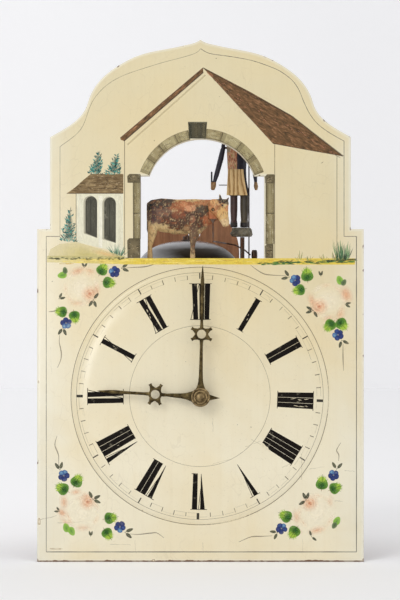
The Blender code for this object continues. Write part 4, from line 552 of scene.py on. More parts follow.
def pleat_finish(name, light, dark, flank):
    """Linen painted in pleats beside a dark flank: the depth of each fold is kept on the mesh, and its
    hollow is painted darker as shade.
    """
    tree, shader = new_finish(name, 0.6, Specular_IOR_Level=0.3)
    fold = tree.attribute("fold")["Fac"]
    streak = tree.noise(tree.coords((1, 1, 0.22)), 1100.0, 3.0, 0.6)
    # Painted shade: where a fold sinks back, the linen is painted towards the darker colour, broken up by
    # streaks.
    share = tree.spread(tree.math("ADD", fold, streak), 0.50, 0.95)
    tone = tree.mix(share, dark, light)
    tone = tree.mix(tree.spread(fold, -0.7, -0.3, 1.0, 0.0), tone, flank)
    loss = tree.group("loss", scale=520.0, amount=0.24)
    tone = tree.mix(tree.times(loss["Loss"], 0.7), tone, srgb(110, 82, 50))
    tree.lay(shader, tone, tree.spread(streak, 0.3, 0.7, 0.70, 0.52), streak, 0.4, 0.0002)


def bell_finish(name, highlight_steel, patina_and_shade_brown):
    """Turned steel, painted pale at its crown and left side as a highlight, darker and browner towards the
    mouth from patina and painted shade.
    """
    tree, shader = new_finish(name, 0.3, Metallic=1.0)
    vector = tree.coords()
    # Painted highlight: the steel is painted pale towards the crown and the left side, where the light
    # falls.
    down = tree.spread(tree.part(vector, "Z"), BELL_HIGH.z - 0.0090, BELL_HIGH.z - 0.0010, 1.0, 0.0)
    along = tree.spread(tree.part(vector, "X"), -0.042, -0.010, 0.42, 1.0)
    cloud = tree.noise(tree.coords((1, 1, 5)), 24.0, 4.0, 0.6, 0.4)
    share = tree.math("ADD", tree.times(down, along), tree.spread(cloud, 0.3, 0.7, -0.16, 0.16))
    aged = tree.spread(share, 0.0, 1.0)
    specks = tree.group("grime", scale=60.0, specks=900.0)["Specks"]
    tone = tree.mix(tree.times(specks, 0.4), tree.mix(aged, highlight_steel, patina_and_shade_brown), patina_and_shade_brown)
    tree.lay(shader, tone, tree.spread(aged, 0, 1, 0.26, 0.42), cloud, 0.15, 0.00006)


BROWN_TILES = ((54, 41, 25), (91, 67, 41), (108, 78, 48), (132, 93, 61), (164, 122, 86))
GREY_TILES = ((66, 52, 34), (109, 88, 58), (130, 108, 74), (148, 126, 88), (177, 154, 110))


def make_finishes():
    board, metal, figure = settings().board, settings().metal, settings().figure
    bare = srgb(150, 112, 72)
    lacquer_finish("lacquer", board.cream, board.pale_cream, board.yellowed, board.bare_wood, board.wear)
    brushwork_finish("brushwork", 0.22)
    brushwork_finish("numeral_ink", 0.08)
    tile_finish("roof_right", math.radians(30), BROWN_TILES)
    tile_finish("roof_left", math.radians(-41), BROWN_TILES)
    tile_finish("roof_level", 0.0, GREY_TILES)
    for name, stretch in (("beech", (60, 60, 7)), ("beech_along", (7, 60, 60))):
        wood_finish(name, srgb(142, 98, 58), srgb(190, 146, 96), stretch)
    wood_finish("board_back", srgb(92, 64, 40), srgb(148, 108, 70), (70, 70, 5), 0.6, 0.35)
    wood_finish("stained_wood", srgb(144, 88, 50), srgb(208, 146, 96), (75, 75, 6), 0.5, 0.15)
    metal_finish("wheel_brass", metal.wheel_brass, srgb(104, 76, 40), 0.48)
    metal_finish("hand_brass", metal.hand_brass, srgb(50, 42, 27), 0.55, 210.0)
    metal_finish("collet_brass", srgb(158, 136, 98), srgb(78, 64, 44), 0.50, 260.0)
    # The bell's pale grey is a painted highlight; its dark brown is patina and painted shade.
    bell_finish("bell_steel", srgb(172, 172, 174), srgb(48, 41, 33))
    metal_finish("arbor_steel", metal.steel, srgb(74, 62, 50), 0.46, 160.0)
    metal_finish("iron", metal.iron, srgb(92, 58, 38), 0.42, 200.0)
    hide_finish("ox_hide", figure.hide, figure.hide_rust, figure.hide_dark, bare)
    # The middle colour is the painted shade in the hollows of the pleats.
    pleat_finish("apron_paint", figure.apron, srgb(166, 128, 76), srgb(40, 36, 42))
    for name, stops, scale, worn, stretch in (
        ("coat_paint", [(0.3, srgb(24, 24, 38)), (0.7, figure.coat)], 80.0, 0.20, (1, 1, 1)),
        ("vest_paint", [(0.34, srgb(118, 72, 50)), (0.43, srgb(188, 116, 82)), (0.50, figure.vest),
                        (0.57, srgb(228, 198, 154)), (0.64, srgb(166, 136, 66))], 620.0, 0.24,
                        (1, 1, 0.35)),
        ("trouser_paint", [(0.3, srgb(44, 26, 24)), (0.7, figure.trousers)], 90.0, 0.20, (1, 1, 0.4)),
        ("stocking_paint", [(0.3, srgb(48, 43, 32)), (0.7, srgb(96, 84, 60))], 90.0, 0.22, (1, 1, 0.4)),
        ("shirt_paint", [(0.35, srgb(140, 122, 96)), (0.65, srgb(196, 180, 150))], 300.0, 0.22,
         (1, 1, 0.5)),
        ("skin_paint", [(0.3, srgb(146, 112, 72)), (0.7, figure.skin)], 160.0, 0.14, (1, 1, 1)),
        ("ground_paint", [(0.35, srgb(78, 76, 62)), (0.65, srgb(142, 136, 116))], 220.0, 0.24, (1, 1, 1)),
        ("dark_paint", [(0.35, srgb(22, 17, 14)), (0.65, srgb(46, 34, 26))], 200.0, 0.10, (1, 1, 1)),
    ):
        painted_wood_finish(name, stops, scale, bare, worn, stretch)


# Mesh tools


def make_piece(name, bm, finish, body, replaces=(), sharp=35.0):
    """Turns a bmesh into a finished piece that rides on a body."""
    for face in bm.faces:
        face.smooth = True
    mesh = bpy.data.meshes.new(name)
    bm.to_mesh(mesh)
    bm.free()
    mesh.set_sharp_from_angle(angle=math.radians(sharp))
    return place_piece(name, mesh, finish, body, replaces)


def place_piece(name, mesh, finish, body, replaces=()):
    mesh.materials.clear()
    mesh.materials.append(finishes[finish])
    piece = bpy.data.objects.new(name, mesh)
    bpy.context.scene.collection.objects.link(piece)
    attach(piece, body)
    if replaces:
        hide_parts(*replaces)
    return piece


def polar(centre, radius, angle):
    return (centre[0] + radius * math.cos(angle), centre[1] + radius * math.sin(angle))


def beside(place, along, across, lean):
    """The point this far along a heading and to the left of it."""
    return (place[0] + along * math.cos(lean) - across * math.sin(lean),
            place[1] + along * math.sin(lean) + across * math.cos(lean))


def curve_run(start, start_heading, end, end_heading, steps):
    """A smooth run between two points of an outline, headings in degrees from +X."""
    reach = math.dist(start, end) * HANDLE_SHARE
    near = polar(start, reach, math.radians(start_heading))
    far = polar(end, -reach, math.radians(end_heading))
    points = interpolate_bezier(*(Vector((*p, 0)) for p in (start, near, far, end)), steps + 1)
    return [(point.x, point.y) for point in points]


def through(points, steps):
    """A smooth run through these points."""
    run = []
    last = len(points) - 1
    for i in range(last):
        before, a, b, after = (Vector(points[max(0, min(last, k))]) for k in (i - 1, i, i + 1, i + 2))
        near = a + (b - before) / 6
        far = b - (after - a) / 6
        part = interpolate_bezier(*(Vector((*p, 0)) for p in (a, near, far, b)), steps + 1)
        run += [(point.x, point.y) for point in part][: None if i == last - 1 else -1]
    return run


def between(start, end, steps):
    """Evenly spaced points from start to end."""
    shares = [i / steps for i in range(steps + 1)]
    return [tuple(a + (b - a) * share for a, b in zip(start, end)) for share in shares]


def ring_points(centre, radius, steps, start=0.0, end=TURN):
    count = steps if end - start >= TURN - 1e-6 else steps + 1
    return [polar(centre, radius, start + (end - start) * i / steps) for i in range(count)]


def add_loop(bm, points, y=0.0):
    """A closed loop of edges through (x, z) points."""
    verts = [bm.verts.new((x, y, z)) for x, z in points]
    return [bm.edges.new((verts[i - 1], verts[i])) for i in range(len(verts))]


def fill_loops(loops, y):
    bm = bmesh.new()
    edges = []
    for points in loops:
        edges += add_loop(bm, points, y)
    bmesh.ops.triangle_fill(bm, use_beauty=True, use_dissolve=False, edges=edges, normal=(0, -1, 0))
    return bm


def plate(loops, front, back):
    """A flat plate with these outlines, from its front face to its back."""
    bm = fill_loops(loops, front)
    bmesh.ops.recalc_face_normals(bm, faces=bm.faces)
    made = bmesh.ops.extrude_face_region(bm, geom=list(bm.faces))
    moved = [item for item in made["geom"] if isinstance(item, bmesh.types.BMVert)]
    bmesh.ops.translate(bm, verts=moved, vec=(0, back - front, 0))
    bmesh.ops.recalc_face_normals(bm, faces=bm.faces)
    return bm


def round_edges(bm, width, segments):
    """Rounds the edges where a flat face meets a wall."""
    rim = []
    for edge in bm.edges:
        flat = [abs(face.normal.y) > 0.9 for face in edge.link_faces]
        if len(flat) == 2 and flat[0] != flat[1]:
            rim.append(edge)
    bmesh.ops.bevel(bm, geom=rim, offset=width, offset_type="OFFSET", segments=segments, profile=0.5,
                    affect="EDGES", material=-1, clamp_overlap=True)


def spun(profile, place, axis, steps):
    """A turned piece: (radius, along) points spun about an axis through place."""
    bm = bmesh.new()
    x, y, z = place
    verts = []
    for radius, along in profile:
        spot = (x + radius, y, along) if axis == "Z" else (x + radius, along, z)
        verts.append(bm.verts.new(spot))
    edges = [bm.edges.new(pair) for pair in zip(verts, verts[1:])]
    turn_axis = (0, 0, 1) if axis == "Z" else (0, 1, 0)
    bmesh.ops.spin(bm, geom=verts + edges, cent=place, axis=turn_axis, angle=TURN, steps=steps,
                   use_merge=True)
    bmesh.ops.remove_doubles(bm, verts=bm.verts, dist=1e-6)
    bmesh.ops.recalc_face_normals(bm, faces=bm.faces)
    return bm


def blob(bm, place, size, level=3):
    """A rounded lump of the given half sizes."""
    matrix = Matrix.Translation(place) @ Matrix.Diagonal((*size, 1))
    bmesh.ops.create_icosphere(bm, subdivisions=level, radius=1.0, matrix=matrix)


def tube_run(bm, points, radii):
    """A tapered round run along points, closed at both ends."""
    points = [Vector(p) for p in points]
    old = None
    for i, point in enumerate(points):
        ahead = points[min(i + 1, len(points) - 1)] - points[max(i - 1, 0)]
        turn = ahead.to_track_quat("Z", "Y").to_matrix().to_4x4()
        made = bmesh.ops.create_circle(bm, cap_ends=i in (0, len(points) - 1), segments=8, radius=radii[i],
                                       matrix=Matrix.Translation(point) @ turn)
        ring = [e for e in bm.edges if all(v in made["verts"] for v in e.verts)]
        if old:
            bmesh.ops.bridge_loops(bm, edges=old + ring)
        old = ring


def carved_mesh(name, node, extras, cell, passes):
    """A smooth carved copy of a solid with extra lumps, grown into one skin."""
    bm = bmesh.new()
    bm.from_mesh(frame["nodes"][node].data)
    bmesh.ops.remove_doubles(bm, verts=bm.verts, dist=1e-6)
    if extras:
        extras(bm)
    mesh = bpy.data.meshes.new(name)
    bm.to_mesh(mesh)
    bm.free()
    block = bpy.data.objects.new(name + "_block", mesh)
    bpy.context.scene.collection.objects.link(block)
    skin = block.modifiers.new("skin", "REMESH")
    skin.mode = "VOXEL"
    skin.voxel_size = cell
    soften = block.modifiers.new("soften", "SMOOTH")
    soften.factor = 0.5
    soften.iterations = passes
    shaped = bpy.data.meshes.new_from_object(block.evaluated_get(bpy.context.evaluated_depsgraph_get()))
    bpy.data.objects.remove(block)
    bpy.data.meshes.remove(mesh)
    shaped.name = name
    shaped.shade_smooth()
    return shaped


# The board


def shield_outline():
    """Right edge from the foot to the tip, then the same mirrored down the left."""
    upper = HALF_WIDTH - SHOULDER_INSET
    right = [(HALF_WIDTH, BOARD_LOW.z), (HALF_WIDTH, SHOULDER_Z), (upper, SHOULDER_Z)]
    right += curve_run((upper, CROWN_CORNER_Z), 150, CROWN_WAIST, 105, 14)
    right += curve_run(CROWN_WAIST, 105, CROWN_BROW, 152, 18)[1:]
    right += curve_run(CROWN_BROW, 152, CROWN_NECK, 166, 10)[1:]
    right += curve_run(CROWN_NECK, 166, (0, BOARD_HIGH.z), 142, 8)[1:]
    return right + [(-x, z) for x, z in reversed(right[:-1])]


def arch_outline():
    """The window: straight sides from the sill, and a round head."""
    left, right = ARCH_X - ARCH_HALF_WIDTH, ARCH_X + ARCH_HALF_WIDTH
    rise = math.asin((ARCH_SPRING_Z - ARCH_CENTRE_Z) / ARCH_RADIUS)
    head = ring_points((ARCH_X, ARCH_CENTRE_Z), ARCH_RADIUS, 40, rise, math.pi - rise)
    return [(left, ARCH_SPRING_Z), (left, ARCH_SILL_Z), (right, ARCH_SILL_Z), (right, ARCH_SPRING_Z)] + head


def swell(radius):
    """How far the dial stands out of the board at this radius."""
    if radius <= DIAL_FLAT_RADIUS:
        return DIAL_RISE
    if radius >= DIAL_RADIUS:
        return 0.0
    return DIAL_RISE * math.sqrt(1 - ((radius - DIAL_FLAT_RADIUS) / (DIAL_RADIUS - DIAL_FLAT_RADIUS)) ** 2)


class SHIELDCLOCK_OT_board(bpy.types.Operator):
    """Make the lacquered board with its arched window, and the raised dial on it"""

    bl_idname = "shieldclock.board"
    bl_label = "Board and Dial"

    def execute(self, context):
        board = settings().board
        hole = ring_points((0, 0), HAND_HOLE_RADIUS, 40)
        bm = plate([shield_outline(), arch_outline(), hole], FACE_Y, BACK_Y)
        round_edges(bm, board.edge_round, 3)
        bmesh.ops.bisect_plane(bm, geom=list(bm.verts) + list(bm.edges) + list(bm.faces),
                               plane_co=(0, 0, BOARD_LOW.z + WORN_FOOT), plane_no=(0, 0, 1))
        front = [face for face in bm.faces
                 if face.normal.y < -0.9 and face.calc_center_median().y < FACE_Y + 1e-5]
        bmesh.ops.inset_region(bm, faces=front, thickness=board.rim_width, use_even_offset=True,
                               use_boundary=True)
        worn = bm.verts.layers.float.new("rim")
        inner = {vert for face in front for vert in face.verts}
        for vert in bm.verts:
            edge = 1.0 if vert.co.z < BOARD_LOW.z + 0.002 else 0.5
            vert[worn] = 0.0 if vert in inner else edge
        piece = make_piece("painted_board", bm, "lacquer", "case", ("shield_board",))
        piece.data.materials.append(finishes["board_back"])
        for face in piece.data.polygons:
            face.material_index = 1 if face.normal.y > 0.9 else 0

        profile = [(HAND_HOLE_RADIUS, FACE_Y - 0.0004)]
        inner_edge = FACE_Y - DIAL_RISE
        profile += [(HAND_HOLE_RADIUS, inner_edge + 0.0005), (HAND_HOLE_RADIUS + 0.0005, inner_edge)]
        profile += [(DIAL_FLAT_RADIUS * share, inner_edge) for share in (0.3, 0.55, 0.8, 0.95)]
        for degrees in range(90, -1, -6):
            lean = math.radians(degrees)
            reach = DIAL_FLAT_RADIUS + (DIAL_RADIUS - DIAL_FLAT_RADIUS) * math.cos(lean)
            profile.append((reach, FACE_Y - DIAL_RISE * math.sin(lean)))
        bm = spun(profile, (0, 0, 0), "Y", 144)
        if sum(face.normal.y for face in bm.faces) > 0:
            bmesh.ops.reverse_faces(bm, faces=bm.faces)
        bm.verts.layers.float.new("rim")
        make_piece("dial_boss", bm, "lacquer", "case", ("shield_board",))
        return {"FINISHED"}


# Painted work


class Brush:
    """Collects flat strokes and patches of colour, then lays them on the front of the board in that order.

    Lift is how far the paint lies above the board, in metres. Unit is what places and sizes are given in.
    """

    def __init__(self, lift, unit=1.0):
        self.lift = lift
        self.unit = unit
        self.level = 0
        self.strokes = []
        self.patches = []

    def height(self):
        """Each stroke lies a little above the last one at the same place."""
        self.level += 1
        return self.lift + 0.0000004 * self.level

    def in_metres(self, points):
        return [(x * self.unit, z * self.unit) for x, z in points]

    def stroke(self, points, widths, colour, strength=1.0, closed=False):
        """A run of paint along (x, z) points, with one width or a width for each point."""
        count = len(points)
        points = self.in_metres(points)
        if not isinstance(widths, (list, tuple)):
            widths = [widths] * count
        rails = []
        for i, point in enumerate(points):
            back = points[i - 1] if i or closed else points[i]
            ahead = points[(i + 1) % count] if i < count - 1 or closed else points[i]
            along = Vector((ahead[0] - back[0], ahead[1] - back[1])).normalized()
            side = Vector((-along.y, along.x)) * widths[i] * self.unit / 2
            rails.append(((point[0] + side.x, point[1] + side.y), (point[0] - side.x, point[1] - side.y)))
        if closed:
            rails.append(rails[0])
        self.strokes.append((rails, (*colour[:3], strength), self.height()))

    def dab(self, x, z, heading, length, width, colour, strength=0.85):
        """One short touch of a pointed brush, heading in degrees."""
        lean = math.radians(heading)
        run = [polar((x, z), length * share, lean) for share in (0.0, 0.45, 1.0)]
        self.stroke(run, [width * 0.55, width, width * 0.15], colour, strength)

    def patch(self, points, colour, strength=1.0, heart=None, heart_strength=None, heart_place=None):
        """A filled outline, shaded towards another colour at its heart if one is given."""
        middle = None
        if heart is not None:
            middle = (*heart[:3], strength if heart_strength is None else heart_strength)
        place = self.in_metres([heart_place])[0] if heart_place else None
        self.patches.append((self.in_metres(points), (*colour[:3], strength), middle, place, self.height()))

    def cloud(self, x, z, wide, tall, lean, colour, strength):
        """A soft-edged smudge of colour."""
        points = []
        for i in range(18):
            angle = TURN * i / 18
            points.append(beside((x, z), wide * math.cos(angle), tall * math.sin(angle),
                                 math.radians(lean)))
        self.patch(points, colour, 0.0, colour, strength)

    def rest_on_board(self, vert, height):
        vert.co.y = FACE_Y - swell(math.hypot(vert.co.x, vert.co.z)) - height

    def lay_strokes(self, bm, tint, owner, side):
        """All strokes grow together, one step of each at a time."""
        growing = []
        for number, (rails, colour, height) in enumerate(self.strokes):
            pair = []
            for hand, (x, z) in enumerate(rails[0]):
                vert = bm.verts.new((x, 0, z))
                vert[owner], vert[side], vert[tint] = number, hand, colour
                self.rest_on_board(vert, height)
                pair.append(vert)
            growing.append(bm.edges.new(pair))
        step = 1
        while growing:
            made = bmesh.ops.extrude_edge_only(bm, edges=growing)["geom"]
            fresh = {item for item in made if isinstance(item, bmesh.types.BMVert)}
            for vert in fresh:
                rails, colour, height = self.strokes[vert[owner]]
                vert.co.x, vert.co.z = rails[step][vert[side]]
                self.rest_on_board(vert, height)
            step += 1
            growing = [item for item in made if isinstance(item, bmesh.types.BMEdge)
                       and all(vert in fresh and len(self.strokes[vert[owner]][0]) > step
                               for vert in item.verts)]

    def lay_patches(self, bm, tint, owner):
        edges = []
        for number, (points, colour, middle, place, height) in enumerate(self.patches):
            loop = add_loop(bm, points)
            for edge in loop:
                for vert in edge.verts:
                    vert[owner], vert[tint] = number, colour
                    self.rest_on_board(vert, height)
            edges += loop
        if not edges:
            return
        faces = bmesh.ops.edgeloop_fill(bm, edges=edges)["faces"]
        shaded = [face for face in faces if self.patches[face.verts[0][owner]][2]]
        hearts = bmesh.ops.poke(bm, faces=shaded)["verts"] if shaded else []
        for vert in hearts:
            points, colour, middle, place, height = self.patches[vert.link_edges[0].other_vert(vert)[owner]]
            vert[tint] = middle
            if place:
                vert.co.x, vert.co.z = place
            self.rest_on_board(vert, height)

    def finish(self, name, finish="brushwork"):
        bm = bmesh.new()
        tint = bm.verts.layers.float_color.new("paint")
        owner = bm.verts.layers.int.new("owner")
        side = bm.verts.layers.int.new("side")
        self.lay_patches(bm, tint, owner)
        self.lay_strokes(bm, tint, owner, side)
        bm.verts.layers.int.remove(bm.verts.layers.int["side"])
        bm.verts.layers.int.remove(bm.verts.layers.int["owner"])
        bm.normal_update()
        turned = [face for face in bm.faces if face.normal.y > 0]
        bmesh.ops.reverse_faces(bm, faces=turned)
        piece = make_piece(name, bm, finish, "case")
        piece.visible_shadow = False
        piece.visible_diffuse = False
        return piece


def mm_points(points):
    return [(x * MM, z * MM) for x, z in points]


# Middle of the painted rings, and how far on some hours were painted, in degrees
RING_MIDDLE = (-0.00055, 0.00045)
DRIFT = {1: 0.8, 2: 0.9, 3: 2.2, 4: 1.5, 5: 1.0, 6: 0.9}


def dial_point(across, out, hour):
    """A place on the dial from the middle of an hour mark, clockwise and outwards."""
    last = int(hour)
    part = hour - last
    drift = DRIFT.get(last, 0.0) * (1 - part) + DRIFT.get(last + 1, 0.0) * part
    angle = math.radians(90 - hour * 30 - drift)
    return (out * math.cos(angle) + across * math.sin(angle),
            out * math.sin(angle) - across * math.cos(angle))


NUMERALS = {1: "I", 2: "II", 3: "III", 4: "IIII", 5: "V", 6: "VI", 7: "VII", 8: "VIII", 9: "IX", 10: "X",
            11: "XI", 12: "XII"}
GLYPH_WIDTHS = {"I": 1.0, "V": 1.5, "X": 1.55}
# Places where the black has flaked off: hour, millimetres across and out, length and width
FLAKES = [(3, -0.9, 80.0, 5.0, 0.5), (3, -0.6, 86.5, 3.4, 0.7), (3, -0.9, 92.0, 4.2, 0.5),
          (3, 4.6, 83.0, 5.5, 0.6), (3, 5.2, 88.0, 4.4, 0.8), (3, 4.8, 93.0, 2.6, 0.5),
          (3, 1.6, 85.0, 3.0, 0.3), (11, -2.9, 88.0, 3.2, 0.8), (11, -3.5, 82.0, 2.6, 0.7),
          (11, -2.6, 85.0, 1.8, 0.4), (1, 0.4, 79.0, 2.2, 0.5), (1, -0.5, 83.0, 1.6, 0.4),
          (12, 3.0, 88.0, 0.9, 0.9), (12, -5.6, 80.0, 2.4, 0.3), (8, -1.0, 84.0, 1.8, 0.3),
          (10, 0.3, 88.0, 1.6, 0.4)]
# Rings of the dial: radius, width, strength. Then the worn rings: radius, share that is left, strength
RINGS = ((0.1143, 0.00056, 0.86), (0.1094, 0.00042, 0.66), (0.0624, 0.00040, 0.62))
WORN_RINGS = ((0.1072, 0.66, 0.40), (0.1037, 0.62, 0.45))
# Marks of the dial: inner end, outer end, width
MINUTE_MARK = (0.1036, 0.1074, 0.00066)
HOUR_MARK = (0.1040, 0.1092, 0.00105)
QUARTER_MARK = (0.1036, 0.1093, 0.0024)
# The chipped corner of the fourth numeral, in millimetres across and out
CHIP = [(9.4, 67.6), (6.0, 68.2), (6.6, 71.0), (7.2, 72.5), (6.9, 74.4), (8.4, 76.2), (8.9, 79.0),
        (9.6, 78.0)]


class SHIELDCLOCK_OT_dial(bpy.types.Operator):
    """Paint the rings, minute marks and Roman numerals of the dial"""

    bl_idname = "shieldclock.dial"
    bl_label = "Dial Paint"

    def execute(self, context):
        paint = settings().paint
        lines = Brush(0.00005)
        hand = random.Random(11)
        for radius, width, strength in RINGS:
            lines.stroke(ring_points(RING_MIDDLE, radius, 180), width, paint.line, strength, closed=True)
        for start in range(0, 360, 6):
            for radius, chance, strength in WORN_RINGS:
                if hand.random() < chance:
                    end = math.radians(start + hand.uniform(3, 6))
                    arc = ring_points(RING_MIDDLE, radius, 4, math.radians(start), end)
                    lines.stroke(arc, 0.00032, paint.line, hand.uniform(0.5, 1.2) * strength)
        for minute in range(60):
            hour = minute / 5
            inner, outer, width = MINUTE_MARK
            outer += hand.uniform(-0.0004, 0.0006)
            if minute % 5 == 0:
                inner, outer, width = QUARTER_MARK if minute in (15, 30, 45) else HOUR_MARK
            mark = between(dial_point(0, inner, hour), dial_point(0, outer, hour), 3)
            mark = [(x + RING_MIDDLE[0], z + RING_MIDDLE[1]) for x, z in mark]
            lines.stroke(mark, width, paint.ink, 0.95 if minute % 5 == 0 else hand.uniform(0.55, 0.9))
        lines.finish("dial_rings")

        ink = Brush(0.00009)
        for hour, word in NUMERALS.items():
            ink.level = 0
            self.numeral(ink, hour, word, paint)
        for hour, across, out, length, width in FLAKES:
            start = dial_point(across * MM, out * MM, hour)
            heading = 90 - hour * 30 + hand.uniform(-12, 12)
            ink.dab(*start, heading, length * MM, width * MM, srgb(214, 202, 172), 0.9)
        ink.patch([dial_point(across * MM, out * MM, 4) for across, out in CHIP], srgb(226, 216, 188))
        ink.finish("dial_numerals", "numeral_ink")
        return {"FINISHED"}

    def numeral(self, ink, hour, word, paint):
        low, high = paint.numeral_inner, paint.numeral_outer
        pitch = paint.bar_pitch * (0.93 if word == "IIII" else 1.0)
        bar = pitch - paint.bar_gap
        fan = paint.bar_fan
        total = sum(GLYPH_WIDTHS[letter] for letter in word) * pitch
        across = -total / 2
        for letter in word:
            middle = across + GLYPH_WIDTHS[letter] * pitch / 2
            if letter == "I":
                self.bar(ink, hour, middle * (1 - fan), middle * (1 + fan), low, high, bar * (1 - fan),
                         bar * (1 + fan))
            elif letter == "V":
                heel = middle + 0.0006
                self.bar(ink, hour, heel, middle - bar * 0.22, low, high, 0.0004, bar * 0.95)
                join = low + (high - low) * 0.42
                self.bar(ink, hour, heel + bar * 0.06, middle + bar * 0.58, join, high, 0.00045, 0.00055)
            else:
                lean = bar * 0.14
                self.bar(ink, hour, middle + lean, middle - lean, low, high, bar * 0.97, bar)
                self.bar(ink, hour, middle - bar * 0.86, middle + bar * 0.80, low, high, 0.00055, 0.00055)
            across += GLYPH_WIDTHS[letter] * pitch
        for out, share in ((low, 1 - fan), (high, 1 + fan)):
            reach = total / 2 * share + 0.0012
            begin = -reach
            if out == low and word.startswith("V"):
                if word == "V":
                    continue
                begin = -total / 2 + GLYPH_WIDTHS["V"] * pitch
            run = between(dial_point(begin, out, hour), dial_point(reach, out, hour), 6)
            ink.stroke(run, 0.00058, paint.ink, 0.95)

    def bar(self, ink, hour, low_across, high_across, low, high, low_width, high_width):
        points = between(dial_point(low_across, low, hour), dial_point(high_across, high, hour), 6)
        widths = [width for width, in between((low_width,), (high_width,), 6)]
        ink.stroke(points, widths, settings().paint.ink)


BORDER_LEFT = [(-124.6, 221.6), (-106.0, 237.3), (-94.5, 263.9), (-75.0, 281.6), (-41.2, 294.0),
               (-7.5, 303.4), (0.2, 308.6)]
BORDER_RIGHT = [(0.2, 308.6), (8.4, 304.3), (26.2, 301.7), (43.9, 298.5), (58.1, 294.0), (70.5, 288.7),
                (81.2, 280.7), (87.4, 271.9), (91.8, 261.2), (97.1, 250.6), (104.2, 241.7), (114.9, 233.7),
                (127.4, 226.6)]


class SHIELDCLOCK_OT_border(bpy.types.Operator):
    """Paint the thin line that follows the edge of the board"""

    bl_idname = "shieldclock.border"
    bl_label = "Border Line"

    def execute(self, context):
        paint = settings().paint
        brush = Brush(0.00005, MM)
        hand = random.Random(5)
        left, right, foot, step = -136.8, 138.4, -137.9, 142.0
        faint, plain, strong = (0.42, 0.62), (0.55, 0.80), (0.80, 0.92)
        runs = [
            (through(BORDER_LEFT, 8), faint), (through(BORDER_RIGHT, 6), plain),
            (between((-124.6, step), (-124.6, 221.6), 24), faint),
            (between((127.4, step), (127.4, 226.6), 24), plain),
            (between((left, foot), (left, step), 24), plain),
            (between((right, foot), (right, step), 24), strong),
            (between((left, foot), (right, foot), 24), strong),
            (between((left, step), (-124.6, step), 24), plain),
            (between((right, step), (127.4, step), 24), plain),
        ]
        for run, (width, strength) in runs:
            widths = [width * hand.uniform(0.75, 1.2) for _ in run]
            brush.stroke(run, widths, paint.border, strength)
        brush.finish("border_line")
        return {"FINISHED"}


# Old scratches: ends in millimetres, width and strength. Then specks and lost flakes: place, half sizes
SCRATCHES = [((-144.0, -109.5), (-127.5, -106.0), 0.9, 0.35),
             ((-127.0, -112.0), (-104.0, -111.0), 1.4, 0.22), ((89.7, -50.6), (89.9, -74.0), 0.45, 0.5),
             ((39.5, -44.6), (53.5, -39.6), 0.5, 0.35), ((2.0, -129.5), (2.4, -137.0), 0.45, 0.4),
             ((10.6, -59.8), (29.5, -54.6), 0.4, 0.4), ((10.6, -19.0), (11.3, -31.4), 0.4, 0.45),
             ((45.0, -38.0), (57.0, -44.0), 0.9, 0.25), ((90.9, -126.4), (90.7, -138.0), 0.45, 0.4),
             ((119.0, -92.4), (126.0, -93.2), 0.9, 0.3), ((128.0, -65.8), (137.0, -66.4), 0.6, 0.35),
             ((96.0, -64.5), (110.0, -62.5), 0.8, 0.22), ((-80.0, -131.0), (-62.0, -131.6), 0.6, 0.3),
             ((-58.0, -128.0), (-57.0, -139.0), 0.4, 0.35), ((60.0, 90.0), (61.5, 84.0), 0.4, 0.3),
             ((-133.0, 44.0), (-132.0, 20.0), 0.4, 0.25), ((83.0, -58.0), (72.0, -63.0), 1.0, 0.22)]
SPECKS = [(32.7, -24.9, 0.5, 0.5), (44.8, -27.0, 0.7, 0.6), (-13.0, 31.0, 0.5, 0.4),
          (17.0, 266.0, 0.5, 0.4), (108.0, 207.5, 1.6, 0.4), (-131.5, 102.0, 0.5, 0.9),
          (-82.0, -57.0, 0.7, 0.7), (-51.5, -101.0, 0.6, 0.6), (-41.0, 227.0, 0.5, 0.9),
          (14.0, 300.0, 0.9, 0.5)]
LOST = [(-143.0, -111.0, 1.6, 3.6), (-41.6, -145.4, 1.9, 1.4), (-143.6, 13.0, 0.7, 1.6),
        (-128.0, -135.2, 7.0, 0.8)]


class SHIELDCLOCK_OT_marks(bpy.types.Operator):
    """Add the scratches, specks and lost flakes that age has left on the board"""

    bl_idname = "shieldclock.marks"
    bl_label = "Age Marks"

    def execute(self, context):
        brush = Brush(0.00004, MM)
        hand = random.Random(17)
        for start, end, width, strength in SCRATCHES:
            run = []
            for x, z in between(start, end, 8):
                run.append((x + hand.uniform(-0.35, 0.35), z + hand.uniform(-0.35, 0.35)))
            widths = [width * hand.uniform(0.3, 1.0) for _ in run]
            brush.stroke(run, widths, srgb(132, 120, 92), strength)
        for x, z, wide, tall in SPECKS:
            brush.cloud(x, z, wide, tall, hand.uniform(-40, 40), srgb(70, 54, 38), 1.0)
        for x, z, wide, tall in LOST:
            spots = []
            for i in range(12):
                reach = hand.uniform(0.7, 1.05)
                spots.append((x + wide * reach * math.cos(TURN * i / 12),
                              z + tall * reach * math.sin(TURN * i / 12)))
            brush.patch(spots, srgb(168, 140, 100), 0.55, srgb(236, 228, 206), 0.9)
        brush.finish("age_marks")
        return {"FINISHED"}


